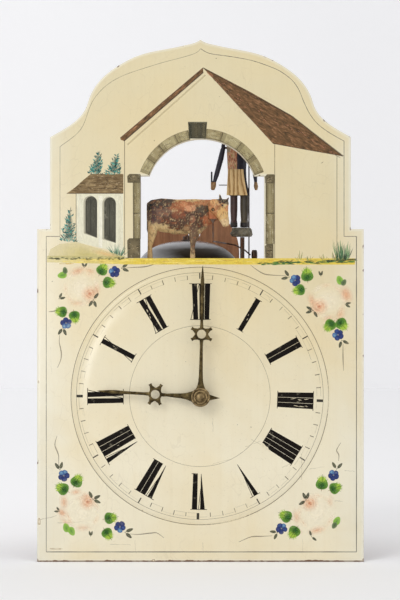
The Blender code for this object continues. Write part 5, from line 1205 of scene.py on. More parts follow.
# Each spray, in millimetres: rose and bud with their radii, blue flowers, leaves and small leaves with their
# headings, dark leaves (foot, length, headings), peach smudges (half sizes, lean, strength) and tendrils
SPRAYS = [
    {
        "rose": (-105.8, 96.0, 15.5), "bud": (-98.2, 91.2, 5.1), "blue": [(-76.3, 110.6), (-119.3, 65.1)],
        "leaves": [(-86.9, 112.8, 60), (-81.3, 101.0, -10), (-123.5, 75.2, 170), (-111.7, 70.7, -80)],
        "small": [(-122.7, 107.6, 190, 1), (-120.1, 111.9, 100, 0)],
        "dark": [(-70.3, 113.8, 5.5, 38, -18), (-103.1, 114.3, 3.9, 118, 58), (-125.7, 86.5, 4.6, 62, 15),
                 (-95.0, 86.0, 5.5, 48, 235, 285), (-122.0, 61.1, 5.7, 232, 292)],
        "smudges": [(-108.8, 111.5, 5.8, 2.8, 20, 0.55), (-97.7, 111.5, 4.1, 2.1, -25, 0.42),
                    (-92.0, 94.5, 2.5, 4.8, 0, 0.42), (-109.5, 82.8, 5.5, 2.5, 0, 0.32)],
        "tendrils": [[(-124.6, 56.1), (-125.2, 48.3), (-123.5, 39.2), (-124.0, 32.5), (-126.8, 25.7)],
                     [(-67.9, 113.7), (-60.6, 114.5), (-49.6, 115.1), (-41.2, 117.3), (-35.7, 119.4)],
                     [(-134.7, 75.2), (-128.2, 75.8)]],
    },
    {
        "rose": (112.6, 84.6, 15.7), "bud": (105.4, 79.7, 5.4), "blue": [(84.0, 103.1), (122.1, 54.8)],
        "leaves": [(94.6, 107.9, 95), (87.5, 94.4, 192), (114.6, 62.9, 226), (125.4, 64.0, -48)],
        "small": [(123.6, 103.2, 112, 1), (127.2, 101.2, 58, 0)],
        "dark": [(79.0, 105.8, 5.7, 126, 192), (106.9, 106.5, 3.9, 112, 78), (127.8, 82.0, 4.4, 16, -26),
                 (100.1, 76.4, 5.3, 152, 200, 300), (125.2, 50.1, 5.5, 250, -32)],
        "smudges": [(129.2, 90.4, 3.9, 5.9, 20, 0.8), (99.1, 84.7, 2.7, 5.9, 30, 0.5),
                    (124.2, 72.6, 3.2, 5.0, -30, 0.4), (113.5, 69.5, 4.4, 2.5, 10, 0.34)],
        "tendrils": [[(126.5, 47.2), (126.5, 34.7), (127.0, 22.8)],
                     [(75.8, 107.2), (65.2, 107.6), (56.9, 108.6), (50.0, 112.4), (44.5, 116.6)]],
    },
    {
        "rose": (-104.3, -103.1, 14.9), "bud": (-100.1, -93.7, 4.9),
        "blue": [(-121.3, -70.2), (-71.4, -115.6)],
        "leaves": [(-109.5, -74.9, 60), (-122.6, -81.7, 152), (-79.8, -107.8, 10), (-82.4, -121.9, -55)],
        "small": [(-119.0, -116.4, 108, 1), (-114.3, -119.6, -62, 1)],
        "dark": [(-124.6, -65.5, 5.9, 122, 70), (-95.7, -91.3, 5.9, 118, 32, -28),
                 (-125.0, -102.1, 3.7, 172, 122), (-97.5, -124.3, 3.9, 102, 70),
                 (-67.3, -120.4, 6.2, 26, -42)],
        "smudges": [(-122.9, -103.1, 4.1, 2.7, -36, 0.7), (-110.6, -84.8, 3.9, 2.2, 10, 0.5),
                    (-121.1, -93.7, 3.0, 5.7, 5, 0.55), (-101.1, -88.4, 4.4, 2.5, -20, 0.36),
                    (-104.3, -116.6, 6.2, 2.5, 0, 0.28), (-120.2, -111.0, 5.0, 2.0, -36, 0.34)],
        "tendrils": [[(-125.8, -61.3), (-126.0, -51.9), (-129.1, -43.0), (-127.3, -35.0)],
                     [(-63.1, -121.9), (-55.3, -122.4), (-44.8, -121.3), (-38.6, -121.1), (-32.4, -125.5)]],
    },
    {
        "rose": (102.5, -102.6, 16.3), "bud": (96.9, -94.7, 5.1), "blue": [(118.1, -69.8), (71.9, -117.1)],
        "leaves": [(107.8, -76.8, 86), (119.7, -81.2, 22), (75.5, -106.2, 152), (82.9, -120.5, 236)],
        "small": [(121.1, -110.4, 60, 1), (118.8, -114.5, 240, 0)],
        "dark": [(120.7, -64.7, 5.7, 118, 50), (93.8, -92.2, 5.7, 112, 66, 206),
                 (98.5, -124.4, 4.3, 112, -40), (68.4, -120.5, 5.3, 168, 242)],
        "smudges": [(85.1, -106.9, 2.5, 5.3, 10, 0.42), (103.3, -118.8, 6.2, 2.7, 14, 0.5),
                    (115.8, -91.8, 2.3, 5.3, 0, 0.16), (85.2, -119.8, 4.8, 2.0, -10, 0.3)],
        "tendrils": [[(122.5, -57.2), (122.8, -51.9), (120.9, -47.5), (124.6, -40.9)],
                     [(63.4, -123.6), (54.6, -124.1), (44.8, -124.6), (34.1, -129.1)]],
    },
]


class SHIELDCLOCK_OT_sprays(bpy.types.Operator):
    """Paint a spray of a rose, leaves and small blue flowers in each corner"""

    bl_idname = "shieldclock.sprays"
    bl_label = "Flower Sprays"

    def execute(self, context):
        brush = Brush(0.00006)
        hand = random.Random(23)
        for spray in SPRAYS:
            brush.level = 0
            for run in spray["tendrils"]:
                self.tendril(brush, run)
            self.rose(brush, hand, spray)
            for x, z, length, *headings in spray["dark"]:
                for heading in headings:
                    self.dark_leaf(brush, hand, x * MM, z * MM, heading, length * MM)
            for x, z, heading in spray["leaves"]:
                self.leaf(brush, hand, x * MM, z * MM, heading)
            for x, z, heading, fresh in spray["small"]:
                self.small_leaf(brush, x * MM, z * MM, heading, fresh)
            for x, z in spray["blue"]:
                self.flower(brush, hand, x * MM, z * MM)
        brush.finish("flower_sprays")
        return {"FINISHED"}

    def tendril(self, brush, run):
        points = through(mm_points(run), 7)
        last = len(points) - 1
        widths = [0.0004 + 0.0006 * math.sin(math.pi * i / last) ** 2 for i in range(last + 1)]
        brush.stroke(points, widths, settings().paint.line, 0.72)

    def outline(self, x, z, heading, length, width, steps=16, sharp=0.35):
        """A rounded leaf, blunt at its foot and drawn to a point."""
        points = []
        for i in range(steps):
            angle = TURN * i / steps
            along = math.cos(angle) * length / 2
            across = math.sin(angle) * width / 2 * (1 - sharp * math.cos(angle))
            points.append(beside((x, z), along, across, math.radians(heading)))
        return points

    def leaf(self, brush, hand, x, z, heading):
        """A round leaf, dark at its foot and drawn out in pale teeth at its tip."""
        paint = settings().paint
        size = hand.uniform(0.94, 1.06)
        length, width = 0.0108 * size, 0.0100 * size
        lean = math.radians(heading)
        foot = polar((x, z), -length * 0.46, lean)
        brush.dab(*foot, heading + 180, 0.0026, 0.0005, srgb(150, 120, 80), 0.7)
        brush.patch(self.outline(x, z, heading, length, width), paint.leaf_mid, 0.97, paint.leaf_mid, 1.0)
        brush.cloud(*polar((x, z), -length * 0.20, lean), length * 0.40, width * 0.52, heading,
                    paint.leaf_dark, 1.0)
        brush.cloud(*polar((x, z), -length * 0.24, lean), length * 0.26, width * 0.36, heading,
                    paint.leaf_dark, 0.7)
        brush.cloud(*polar((x, z), length * 0.30, lean), length * 0.34, width * 0.50, heading,
                    paint.leaf_light, 1.0)
        for turn in (-58, -34, -14, 10, 30, 55):
            turn += hand.uniform(-6, 6)
            start = polar((x, z), length * 0.22, lean + math.radians(turn))
            reach = length * (0.28 + 0.10 * math.cos(math.radians(turn)))
            tone = paint.leaf_light if hand.random() < 0.6 else srgb(120, 160, 50)
            brush.dab(*start, heading + turn * 0.8, reach, hand.uniform(0.0008, 0.0013), tone, 0.7)
        for turn in (-36, 36):
            brush.dab(*polar((x, z), -length * 0.1, lean), heading + turn, length * 0.42, 0.0005,
                      paint.leaf_dark, 0.45)
        rib = [foot, (x, z), polar((x, z), length * 0.68, lean)]
        brush.stroke(rib, [0.0008, 0.0006, 0.0003], srgb(48, 78, 30), 0.8)

    def small_leaf(self, brush, x, z, heading, fresh):
        paint = settings().paint
        edge, heart, size = srgb(104, 122, 82), srgb(62, 84, 48), 0.74
        if fresh:
            edge, heart, size = srgb(140, 184, 66), srgb(96, 150, 46), 1.0
        brush.patch(self.outline(x, z, heading, 0.0084 * size, 0.0060 * size, 14, 0.2), edge, 0.95, heart,
                    0.95)
        brush.dab(*polar((x, z), -0.0034 * size, math.radians(heading)), heading, 0.0058 * size, 0.0004,
                  paint.leaf_dark, 0.6)

    def dark_leaf(self, brush, hand, x, z, heading, length):
        """A small pointed leaf that starts at this place."""
        lean = math.radians(heading + hand.uniform(-6, 6))
        length *= 1.2
        middle = polar((x, z), length * 0.66, lean)
        dark = srgb(48, 52, 32) if hand.random() < 0.7 else srgb(74, 76, 52)
        brush.stroke([(x, z), middle], 0.0004, dark, 0.8)
        brush.patch(self.outline(*middle, math.degrees(lean), length * 0.88, length * 0.40, 12, 0.25), dark,
                    0.92, srgb(66, 70, 48), 0.92)
        brush.dab(*polar(middle, -length * 0.26, lean), math.degrees(lean), length * 0.5, 0.0005,
                  srgb(126, 126, 104), 0.5)

    def flower(self, brush, hand, x, z):
        """Five blue petals, lighter on one side."""
        paint = settings().paint
        start, light_side = hand.uniform(0, 72), hand.uniform(0, 360)
        for i in range(5):
            angle = start + 72 * i + hand.uniform(-6, 6)
            lean = math.radians(angle)
            place = polar((x, z), 0.0028 * hand.uniform(0.92, 1.08), lean)
            petal = self.outline(*place, angle, 0.0048, 0.0047 * hand.uniform(0.9, 1.1), 14, -0.2)
            near = math.cos(math.radians(angle - light_side))
            edge, heart = paint.blue, srgb(24, 50, 116)
            if near > 0.75:
                edge, heart = srgb(36, 74, 136), srgb(112, 160, 192)
            elif near > 0.1:
                heart = srgb(38, 76, 142)
            brush.patch(petal, edge, 0.97, heart, 0.97, polar((x, z), 0.0035, lean))
            brush.dab(*polar((x, z), 0.0008, lean), angle + hand.uniform(-20, 20), 0.0030, 0.0007,
                      srgb(22, 44, 98), 0.45)
        brush.patch(ring_points((x, z), 0.0008, 8), srgb(96, 100, 112), 0.9, srgb(150, 146, 140), 0.9)

    def rose(self, brush, hand, spray):
        """A pale blown rose: a soft disc of white with peach petals at its edge and a deeper heart."""
        paint = settings().paint
        x, z, radius = (value * MM for value in spray["rose"])
        brush.cloud(x, z, radius * 1.12, radius * 1.10, 0, paint.rose, 0.4)
        brush.cloud(x, z, radius * 0.95, radius * 0.93, 0, paint.rose, 0.5)
        for i in range(8):
            angle = TURN * i / 8 + hand.uniform(-0.3, 0.3)
            spot = polar((x, z), radius * 0.90, angle)
            tone = srgb(234, 204, 172) if i % 3 else srgb(238, 226, 204)
            brush.cloud(*spot, radius * 0.42, radius * 0.18, math.degrees(angle) + 90, tone, 0.45)
        for sx, sz, wide, tall, lean, strength in spray["smudges"]:
            brush.cloud(sx * MM, sz * MM, wide * 1.7 * MM, tall * 1.7 * MM, lean, paint.bud, strength)
            brush.cloud(sx * MM, sz * MM, wide * 1.1 * MM, tall * 1.0 * MM, lean, srgb(214, 158, 118),
                        strength * 0.8)
        bx, bz, size = (value * MM for value in spray["bud"])
        brush.cloud(bx, bz, size * 1.75, size * 1.60, 20, paint.bud, 1.0)
        for turn, reach, wide in ((0.3, 0.72, 0.0011), (2.2, 0.60, 0.0010), (4.2, 0.66, 0.0012),
                                  (5.4, 0.34, 0.0008)):
            arc = [polar((bx, bz), size * reach, turn + step) for step in (-0.8, -0.3, 0.3, 0.8)]
            brush.stroke(arc, [0.0003, wide, wide, 0.0003], srgb(208, 144, 104), 0.45)
        for turn in (1.2, 3.2):
            arc = [polar((bx, bz), size * 0.48, turn + step) for step in (-0.6, 0.0, 0.6)]
            brush.stroke(arc, [0.0002, 0.0009, 0.0002], srgb(240, 214, 184), 0.6)
        brush.cloud(bx, bz, size * 0.40, size * 0.34, 0, srgb(178, 104, 68), 0.85)


MAIN_ROOF = [(2.2, 291.7), (8.4, 288.9), (43.9, 270.4), (80.7, 249.5), (82.5, 247.7), (106.0, 229.3),
             (126.8, 213.1), (90.0, 219.5), (64.3, 224.3), (49.2, 240.8), (35.0, 255.9), (17.3, 275.4)]
GABLE_RAKE = [(2.2, 291.7), (-71.2, 229.6), (-70.7, 227.7), (-67.5, 226.5), (2.6, 287.5)]
CHAPEL_ROOF = [(-97.4, 197.4), (-68.4, 197.4), (-68.4, 180.0), (-118.8, 180.0), (-111.3, 185.4),
               (-104.2, 191.8)]
CHAPEL_WALL = [(-110.3, 180.0), (-68.4, 180.0), (-68.4, 126.4), (-78.5, 129.4), (-110.3, 137.0)]
# Windows of the chapel: left, right, head of the straight sides, foot at the left and at the right
CHAPEL_WINDOWS = [(-102.5, -91.7, 172.3, 145.0, 140.8), (-85.9, -75.1, 171.4, 139.8, 136.4)]
# Conifers: middle of the foot, tip, half width
CONIFERS = [(-93.3, 197.4, -89.9, 217.8, 6.2), (-77.8, 197.4, -74.3, 214.8, 6.6),
            (-117.0, 137.6, -115.6, 168.1, 6.8)]
HILL = [(-135.6, 123.6), (-133.1, 130.7), (-125.1, 135.3), (-110.1, 137.4), (-96.2, 133.0), (-84.7, 129.5),
        (-77.8, 127.3), (-68.6, 124.3), (-68.6, 122.8)]


class SHIELDCLOCK_OT_house(bpy.types.Operator):
    """Paint the gabled house round the window, with its stone arch, chapel, trees and ground"""

    bl_idname = "shieldclock.house"
    bl_label = "House Paint"

    def execute(self, context):
        for name, outline, finish in (("main_roof", MAIN_ROOF, "roof_right"),
                                      ("gable_rake", GABLE_RAKE, "roof_left"),
                                      ("chapel_roof", CHAPEL_ROOF, "roof_level")):
            roof = Brush(0.00005, MM)
            roof.patch(outline, GREY)
            roof.finish(name, finish)
        brush = Brush(0.00007, MM)
        hand = random.Random(3)
        self.walls(brush, hand)
        self.stone_arch(brush, hand)
        self.chapel(brush, hand)
        self.ground(brush, hand)
        brush.finish("house_paint")
        return {"FINISHED"}

    def line(self, brush, start, end, width, colour, strength):
        brush.stroke(between(start, end, 6), width, colour, strength)

    def walls(self, brush, hand):
        for x, low, high, width in ((-67.3, 125.5, 226.4, 0.7), (65.9, 121.1, 224.2, 0.55),
                                    (121.1, 121.5, 213.6, 0.6)):
            self.line(brush, (x, low), (x, high), width, srgb(96, 84, 62), 0.75)
        eave = srgb(62, 50, 38)
        self.line(brush, (2.6, 287.6), (-67.8, 226.6), 1.0, eave, 0.8)
        self.line(brush, (2.2, 291.5), (-71.0, 229.4), 0.7, srgb(96, 66, 48), 0.7)
        self.line(brush, (4.4, 285.2), (-64.7, 223.4), 1.5, srgb(176, 162, 124), 0.55)
        self.line(brush, (2.2, 291.6), (82.5, 247.9), 1.1, eave, 0.6)
        self.line(brush, (82.0, 248.0), (126.6, 213.3), 1.2, eave, 0.65)
        self.line(brush, (64.4, 224.4), (126.4, 213.2), 0.7, eave, 0.45)
        for _ in range(70):
            along, down = hand.random(), hand.uniform(0.05, 0.55)
            x, z = 4 + 118 * along, 289 - 76 * along - down * 22 * math.sin(math.pi * min(1, along * 1.4))
            tone = srgb(176, 116, 84) if hand.random() < 0.5 else srgb(66, 52, 38)
            brush.dab(x, z, -30 + hand.uniform(-10, 10), hand.uniform(2.0, 4.2), 0.9, tone, 0.5)

    def stone_arch(self, brush, hand):
        joint = srgb(92, 80, 52)
        middle = (ARCH_X / MM, ARCH_CENTRE_Z / MM)
        inner, outer = ARCH_RADIUS / MM + 0.5, ARCH_RADIUS / MM + 9.0
        rise = math.degrees(math.asin((ARCH_SPRING_Z - ARCH_CENTRE_Z) / ARCH_RADIUS)) + 0.6
        right = [rise, 36.4, 52.1, 70.7, 88.0]
        left = [102.0, 114.0, 130.6, 145.6, 180 - rise]
        tones = (srgb(160, 148, 108), srgb(146, 132, 94), srgb(170, 158, 118), srgb(150, 136, 98))
        for angles in (right, left):
            for start, end in zip(angles, angles[1:]):
                a, b = math.radians(start), math.radians(end)
                ring = ring_points(middle, inner, 8, a, b) + ring_points(middle, outer, 8, a, b)[::-1]
                brush.patch(ring, hand.choice(tones), 0.97)
                for _ in range(9):
                    turn, reach = hand.uniform(a + 0.03, b - 0.05), hand.uniform(inner + 1, outer - 1)
                    spot = polar(middle, reach, turn)
                    shade = hand.choice((srgb(118, 104, 68), srgb(190, 180, 142), srgb(132, 120, 84)))
                    brush.cloud(*spot, hand.uniform(2.0, 4.0), hand.uniform(0.9, 1.8),
                                math.degrees(turn) + 90, shade, 0.6)
                for turn, wide, strength in ((a + 0.02, 2.6, 0.36), (a + 0.01, 1.0, 0.68),
                                             (b - 0.03, 3.0, 0.40)):
                    self.line(brush, polar(middle, inner, turn), polar(middle, outer, turn), wide, joint,
                              strength)
        for radius, angles, width, strength in ((inner + 0.3, right, 1.3, 0.5), (outer, right, 0.5, 0.45),
                                                (inner + 0.3, left, 1.3, 0.5), (outer, left, 0.6, 0.5)):
            arc = ring_points(middle, radius, 30, math.radians(angles[0]), math.radians(angles[-1]))
            brush.stroke(arc, width, joint, strength)
        key = [(-11.1, 243.7), (6.0, 243.7), (4.6, 228.8), (-10.0, 228.8)]
        brush.patch(key, srgb(50, 48, 33), 0.97, srgb(72, 66, 46), 0.97)
        for x, wide, tone in ((-9.0, 2.2, srgb(44, 46, 34)), (-4.0, 2.4, srgb(90, 82, 58)),
                              (0.4, 1.6, srgb(58, 54, 40)), (3.2, 2.2, srgb(104, 95, 68))):
            self.line(brush, (x * 0.94, 229.4), (x, 242.6), wide, tone, 0.5)
        self.line(brush, (-11.0, 243.2), (5.9, 243.2), 1.0, srgb(128, 122, 98), 0.6)
        self.column(brush, hand, (-59.7, -53.1), (139.6, 189.6), (-65.0, -52.9, 189.6, 197.4),
                    (-65.0, -53.2, 122.8, 140.4))
        self.column(brush, hand, (57.7, 65.5), (135.1, 189.1), (57.2, 66.1, 189.1, 197.1),
                    (57.2, 64.8, 122.8, 135.4))

    def column(self, brush, hand, sides, shaft, cap, base):
        """A painted pier: a streaky shaft between a dark cap and a dark base."""
        left, right = sides
        low, high = shaft
        wide = right - left
        corners = [(left, low), (right, low), (right, high), (left, high)]
        brush.patch(corners, srgb(124, 112, 77), 0.95, srgb(141, 128, 91))
        for share, tone, strength in ((0.05, srgb(72, 62, 40), 0.7), (0.20, srgb(104, 92, 62), 0.5),
                                      (0.55, srgb(164, 152, 114), 0.6), (0.78, srgb(145, 132, 95), 0.5),
                                      (0.97, srgb(96, 86, 60), 0.6)):
            x = left + wide * share
            self.line(brush, (x, low), (x + hand.uniform(-0.4, 0.4), high), wide * 0.13, tone, strength)
        for _ in range(16):
            x, z = hand.uniform(left + 0.8, right - 0.8), hand.uniform(low + 2, high - 4)
            tone = hand.choice((srgb(96, 82, 52), srgb(196, 186, 152)))
            brush.cloud(x, z, 0.9, hand.uniform(1.5, 4.0), hand.uniform(-8, 8), tone, 0.5)
        self.line(brush, (left, 162.6), (right, 162.6), 0.9, srgb(70, 60, 38), 0.8)
        for x0, x1, z0, z1 in (cap, base):
            soft = 0.8
            outline = [(x0 + 0.3, z0), (x1, z0), (x1, z1 - soft), (x1 - soft, z1), (x0 + soft * 2.4, z1),
                       (x0, z1 - soft * 2.4)]
            brush.patch(outline, srgb(82, 72, 48), 0.97, srgb(118, 104, 74), 0.97)
            for _ in range(16):
                x, z = hand.uniform(x0 + 1.4, x1 - 1.4), hand.uniform(z0 + 1.0, z1 - 1.2)
                tone = hand.choice((srgb(60, 52, 34), srgb(150, 136, 102), srgb(88, 74, 46)))
                brush.cloud(x, z, 1.5, 0.9, hand.uniform(-30, 30), tone, 0.7)

    def chapel(self, brush, hand):
        brush.patch(CHAPEL_WALL, srgb(224, 220, 194), 0.92, srgb(230, 226, 204), 0.92)
        for x, wide, tone in ((-106.6, 4.0, srgb(220, 216, 194)), (-88.6, 3.4, srgb(240, 236, 220)),
                              (-71.6, 3.0, srgb(218, 212, 186))):
            self.line(brush, (x, 178.0), (x, 138.0 if x < -100 else 132.0), wide, tone, 0.5)
        self.line(brush, (-110.3, 180.2), (-110.3, 137.2), 0.7, srgb(120, 108, 84), 0.75)
        self.line(brush, (-118.6, 180.2), (-68.6, 180.2), 0.8, srgb(74, 58, 42), 0.55)
        for z in (184.6, 189.4, 194.0):
            reach = -118.0 + (z - 180) * 1.18
            self.line(brush, (reach, z), (-68.6, z), 0.9, srgb(72, 56, 40), 0.35)
        for _ in range(46):
            z = hand.uniform(181, 196.6)
            x = hand.uniform(-117 + (z - 180) * 1.2, -71.5)
            tone = srgb(192, 168, 130) if hand.random() < 0.6 else srgb(66, 52, 38)
            brush.dab(x, z, hand.uniform(-20, 20), 1.7, 0.8, tone, 0.6)
        for left, right, head, left_foot, right_foot in CHAPEL_WINDOWS:
            middle, half = (left + right) / 2, (right - left) / 2
            shade = ring_points((middle - 0.7, head), half + 0.5, 12, 0, math.pi)
            sill = [(left - 1.2, left_foot - 0.3), (right, right_foot - 0.3)]
            brush.patch(sill + shade, srgb(150, 144, 124), 0.7)
            top = ring_points((middle + 0.3, head), half - 0.2, 12, 0, math.pi)
            brush.patch([(left + 0.5, left_foot), (right, right_foot)] + top, srgb(56, 54, 44), 0.97,
                        srgb(78, 76, 64), 0.97)
            for share, tone in ((0.22, srgb(98, 94, 80)), (0.48, srgb(44, 42, 34)),
                                (0.74, srgb(88, 84, 70))):
                x = left + (right - left) * share
                self.line(brush, (x, left_foot + 1), (x, head + half * 0.6), 0.9, tone, 0.5)
        for sizes in CONIFERS:
            self.conifer(brush, hand, *sizes)
        self.tuft(brush, hand, -73.0, 124.0, 5.5, 12.0, 34,
                  (srgb(58, 112, 94), srgb(98, 142, 112), srgb(40, 78, 62)))

    def conifer(self, brush, hand, foot_x, foot_z, tip_x, tip_z, half):
        """A dark heart with short slanted touches in rows, narrower towards the tip."""
        tones = (srgb(28, 94, 90), srgb(46, 124, 116), srgb(20, 62, 56), srgb(90, 158, 144),
                 srgb(26, 80, 76))
        tall = tip_z - foot_z
        for share, wide in ((0.16, 0.86), (0.36, 0.72), (0.56, 0.48), (0.72, 0.28)):
            spot = (foot_x + (tip_x - foot_x) * share, foot_z + tall * share)
            brush.cloud(*spot, half * wide * 1.1, tall * 0.19, 0, srgb(24, 78, 72), 1.0)
        rows = 13
        for row in range(rows):
            share = row / (rows - 1)
            z = foot_z + tall * (0.01 + 0.88 * share)
            x = foot_x + (tip_x - foot_x) * share
            reach = half * (1 - share) ** 0.75 + 0.4
            for _ in range(max(3, int(13 * (1 - share)) + 1)):
                spot = x + hand.uniform(-reach, reach) * 0.9
                out = 1 if spot > x else -1
                heading = 90 - out * hand.uniform(20, 75)
                brush.dab(spot, z + hand.uniform(-0.8, 0.8), heading, hand.uniform(1.8, 3.0),
                          hand.uniform(0.8, 1.3), hand.choice(tones), hand.uniform(0.7, 0.95))
        brush.dab(tip_x, tip_z - 4.0, 80, 4.6, 0.7, srgb(70, 100, 88), 0.7)

    def tuft(self, brush, hand, x, foot, half, tall, count, tones, fan=42):
        """Blades of grass that fan out from the ground."""
        for _ in range(count):
            lean = hand.uniform(-1, 1)
            heading = 90 - lean * fan + hand.uniform(-8, 8)
            spot = (x + lean * half * 0.7, foot + hand.uniform(-0.6, 1.2))
            brush.dab(*spot, heading, tall * hand.uniform(0.4, 1.0), hand.uniform(0.5, 0.9),
                      hand.choice(tones), hand.uniform(0.5, 0.85))

    def ground(self, brush, hand):
        yellow, straw = srgb(218, 192, 76), srgb(210, 196, 120)
        brush.patch(HILL, srgb(208, 194, 138), 0.5, srgb(194, 181, 110), 0.92, (-100.0, 125.5))
        brush.cloud(-83.0, 126.2, 16.0, 3.0, -14, srgb(222, 178, 116), 0.7)
        edges = [-136.2 + 6.4 * i for i in range(13)] + [137.0]
        for i, (start, end) in enumerate(zip(edges, edges[1:])):
            share = i / 12
            tone = [a + (b - a) * share for a, b in zip(straw, yellow)]
            low = 117.1 + 1.9 * (1 - share)
            band = [(start, low), (end, low - 0.1), (end, 122.5), (start, 122.7)]
            brush.patch(band, tone, 0.55 + 0.45 * share)
        for _ in range(110):
            x, z = hand.uniform(-128, 128), hand.uniform(117.4, 121.8)
            tone = hand.choice((srgb(244, 220, 112), srgb(206, 170, 58), srgb(238, 212, 124),
                                srgb(196, 168, 78)))
            brush.dab(x, z, hand.uniform(-5, 5), hand.uniform(5, 12), 1.2, tone, 0.5)
        self.line(brush, (-136.0, 123.4), (-67.0, 123.2), 2.8, srgb(176, 168, 98), 0.55)
        for _ in range(62):
            x = hand.uniform(-135, -66)
            spot = (x, 122.4 + hand.uniform(-0.9, 1.0))
            brush.dab(*spot, hand.uniform(-14, 14), hand.uniform(1.4, 3.6), 1.0,
                      hand.choice((srgb(52, 56, 32), srgb(78, 84, 46), srgb(116, 112, 60))),
                      hand.uniform(0.55, 0.9))
        green = (srgb(52, 98, 50), srgb(40, 70, 38), srgb(86, 128, 58))
        for _ in range(70):
            x = hand.uniform(50, 134)
            z = 117.6 + (x - 50) * 0.030 + hand.uniform(-0.9, 0.9)
            brush.dab(x, z, hand.uniform(-8, 10), hand.uniform(3.0, 8.0), 1.2, hand.choice(green),
                      hand.uniform(0.6, 0.95))
        self.line(brush, (112, 120.4), (138.2, 121.6), 1.5, srgb(38, 56, 40), 0.85)
        for _ in range(10):
            x = hand.uniform(68, 80)
            brush.dab(x, 119.6, hand.uniform(-10, 30), 4.0, 0.9, srgb(84, 80, 40), 0.7)
        greens = (srgb(56, 112, 74), srgb(104, 142, 92), srgb(44, 84, 56))
        self.tuft(brush, hand, 126.0, 121.6, 8.0, 17.0, 52, greens, 16)
        self.tuft(brush, hand, 124.6, 121.0, 8.5, 7.0, 34, (srgb(34, 58, 38), srgb(44, 74, 48)), 24)
        for x, tall in ((88.0, 9.0), (96.5, 6.0), (110.0, 7.0), (117.0, 8.0)):
            self.tuft(brush, hand, x, 120.4, 2.5, tall, 7,
                      (srgb(150, 150, 90), srgb(120, 132, 72), srgb(180, 160, 96)))


# Hands


HAND_BOSS = 0.0078
STAR_RADIUS = 0.0104
STAR_RING = 0.0059
STAR_HOLE = 0.0039
# Half width of each hand and the distance out from the middle, from the boss to the star, in millimetres
MINUTE_FLARE = [(4.9, 6.1), (3.5, 9.0), (2.44, 12.4), (1.9, 17.7), (1.55, 30.0)]
HOUR_FLARE = [(5.4, 5.6), (4.3, 8.5), (3.0, 12.4), (2.2, 17.4), (1.8, 24.0)]


def hand_outline(length, star_out, tail, flare):
    """Right edge of a hand that points up, from its tail to its tip, then the left edge."""
    star = (0, star_out)
    right = [(0, -tail), (HAND_BOSS * 0.35, -HAND_BOSS * 0.94)] if tail else [(0, -HAND_BOSS)]
    right += ring_points((0, 0), HAND_BOSS, 12, math.radians(-60), math.radians(38))
    neck = mm_points(flare) + [(0.0013, star_out - STAR_RADIUS)]
    right += through(neck, 4)
    for middle in (-30, 30):
        for radius, turn in ((STAR_RING, -26), (STAR_RADIUS * 0.80, -8.5), (STAR_RADIUS, -8.0),
                             (STAR_RADIUS, 8.0), (STAR_RADIUS * 0.80, 8.5), (STAR_RING, 26)):
            right.append(polar(star, radius, math.radians(middle + turn)))
    right.insert(-12, polar(star, STAR_RING, math.radians(-74)))
    right.append(polar(star, STAR_RING, math.radians(74)))
    blade = [(0.00125, star_out + STAR_RADIUS), (0.00140, star_out + (length - star_out) * 0.5),
             (0.00165, length - 0.0155), (0.00125, length - 0.0095), (0.0005, length - 0.0030)]
    right += through(blade, 4)
    return right + [(0, length)] + [(-x, z) for x, z in reversed(right[1:])]


class SHIELDCLOCK_OT_hands(bpy.types.Operator):
    """Make the pierced star hands and the ringed collet that holds them"""

    bl_idname = "shieldclock.hands"
    bl_label = "Hands"

    def execute(self, context):
        edge = settings().metal.hand_edge
        for node, length, star_out, tail, turn, bore, flare in (
            ("minute_hand", 0.1165, 0.0556, 0, -1.0, 0.0043, MINUTE_FLARE),
            ("hour_hand", 0.092, 0.040, 0.0173, 86.6, 0.0060, HOUR_FLARE),
        ):
            low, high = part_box(node)
            loops = [hand_outline(length, star_out, tail, flare), ring_points((0, star_out), STAR_HOLE, 28),
                     ring_points((0, 0), bore, 32)]
            bm = plate(loops, low.y, high.y)
            round_edges(bm, edge, 2)
            bmesh.ops.rotate(bm, verts=bm.verts, cent=(0, 0, 0),
                             matrix=Matrix.Rotation(math.radians(-turn), 3, "Y"))
            make_piece(node + "_filed", bm, "hand_brass", node, (node,), 25.0)

        low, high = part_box("hand_collet")
        deep = high.y - low.y
        top, radius = low.y, high.x
        profile = [(0.0027, high.y - 0.0018), (0.0027, high.y), (radius * 0.97, high.y),
                   (radius, high.y - deep * 0.05)]
        for share, depth in ((1.0, 0.24), (0.975, 0.34), (0.93, 0.40), (0.88, 0.42), (0.83, 0.39),
                             (0.80, 0.30), (0.785, 0.20), (0.755, 0.20), (0.745, 0.36), (0.71, 0.47),
                             (0.65, 0.53), (0.59, 0.52), (0.54, 0.45), (0.52, 0.32), (0.485, 0.32),
                             (0.475, 0.56), (0.45, 0.72), (0.39, 0.86), (0.30, 0.94), (0.17, 0.985),
                             (0.0, 1.0)):
            profile.append((radius * share, high.y - deep * depth))
        profile = [(reach, max(along, top)) for reach, along in profile]
        bm = spun(profile + [(0, high.y - 0.0018)], (0, 0, 0), "Y", 64)
        make_piece("ringed_collet", bm, "collet_brass", "minute_hand", ("hand_collet",), 40.0)
        return {"FINISHED"}


# Bell, ox and butcher


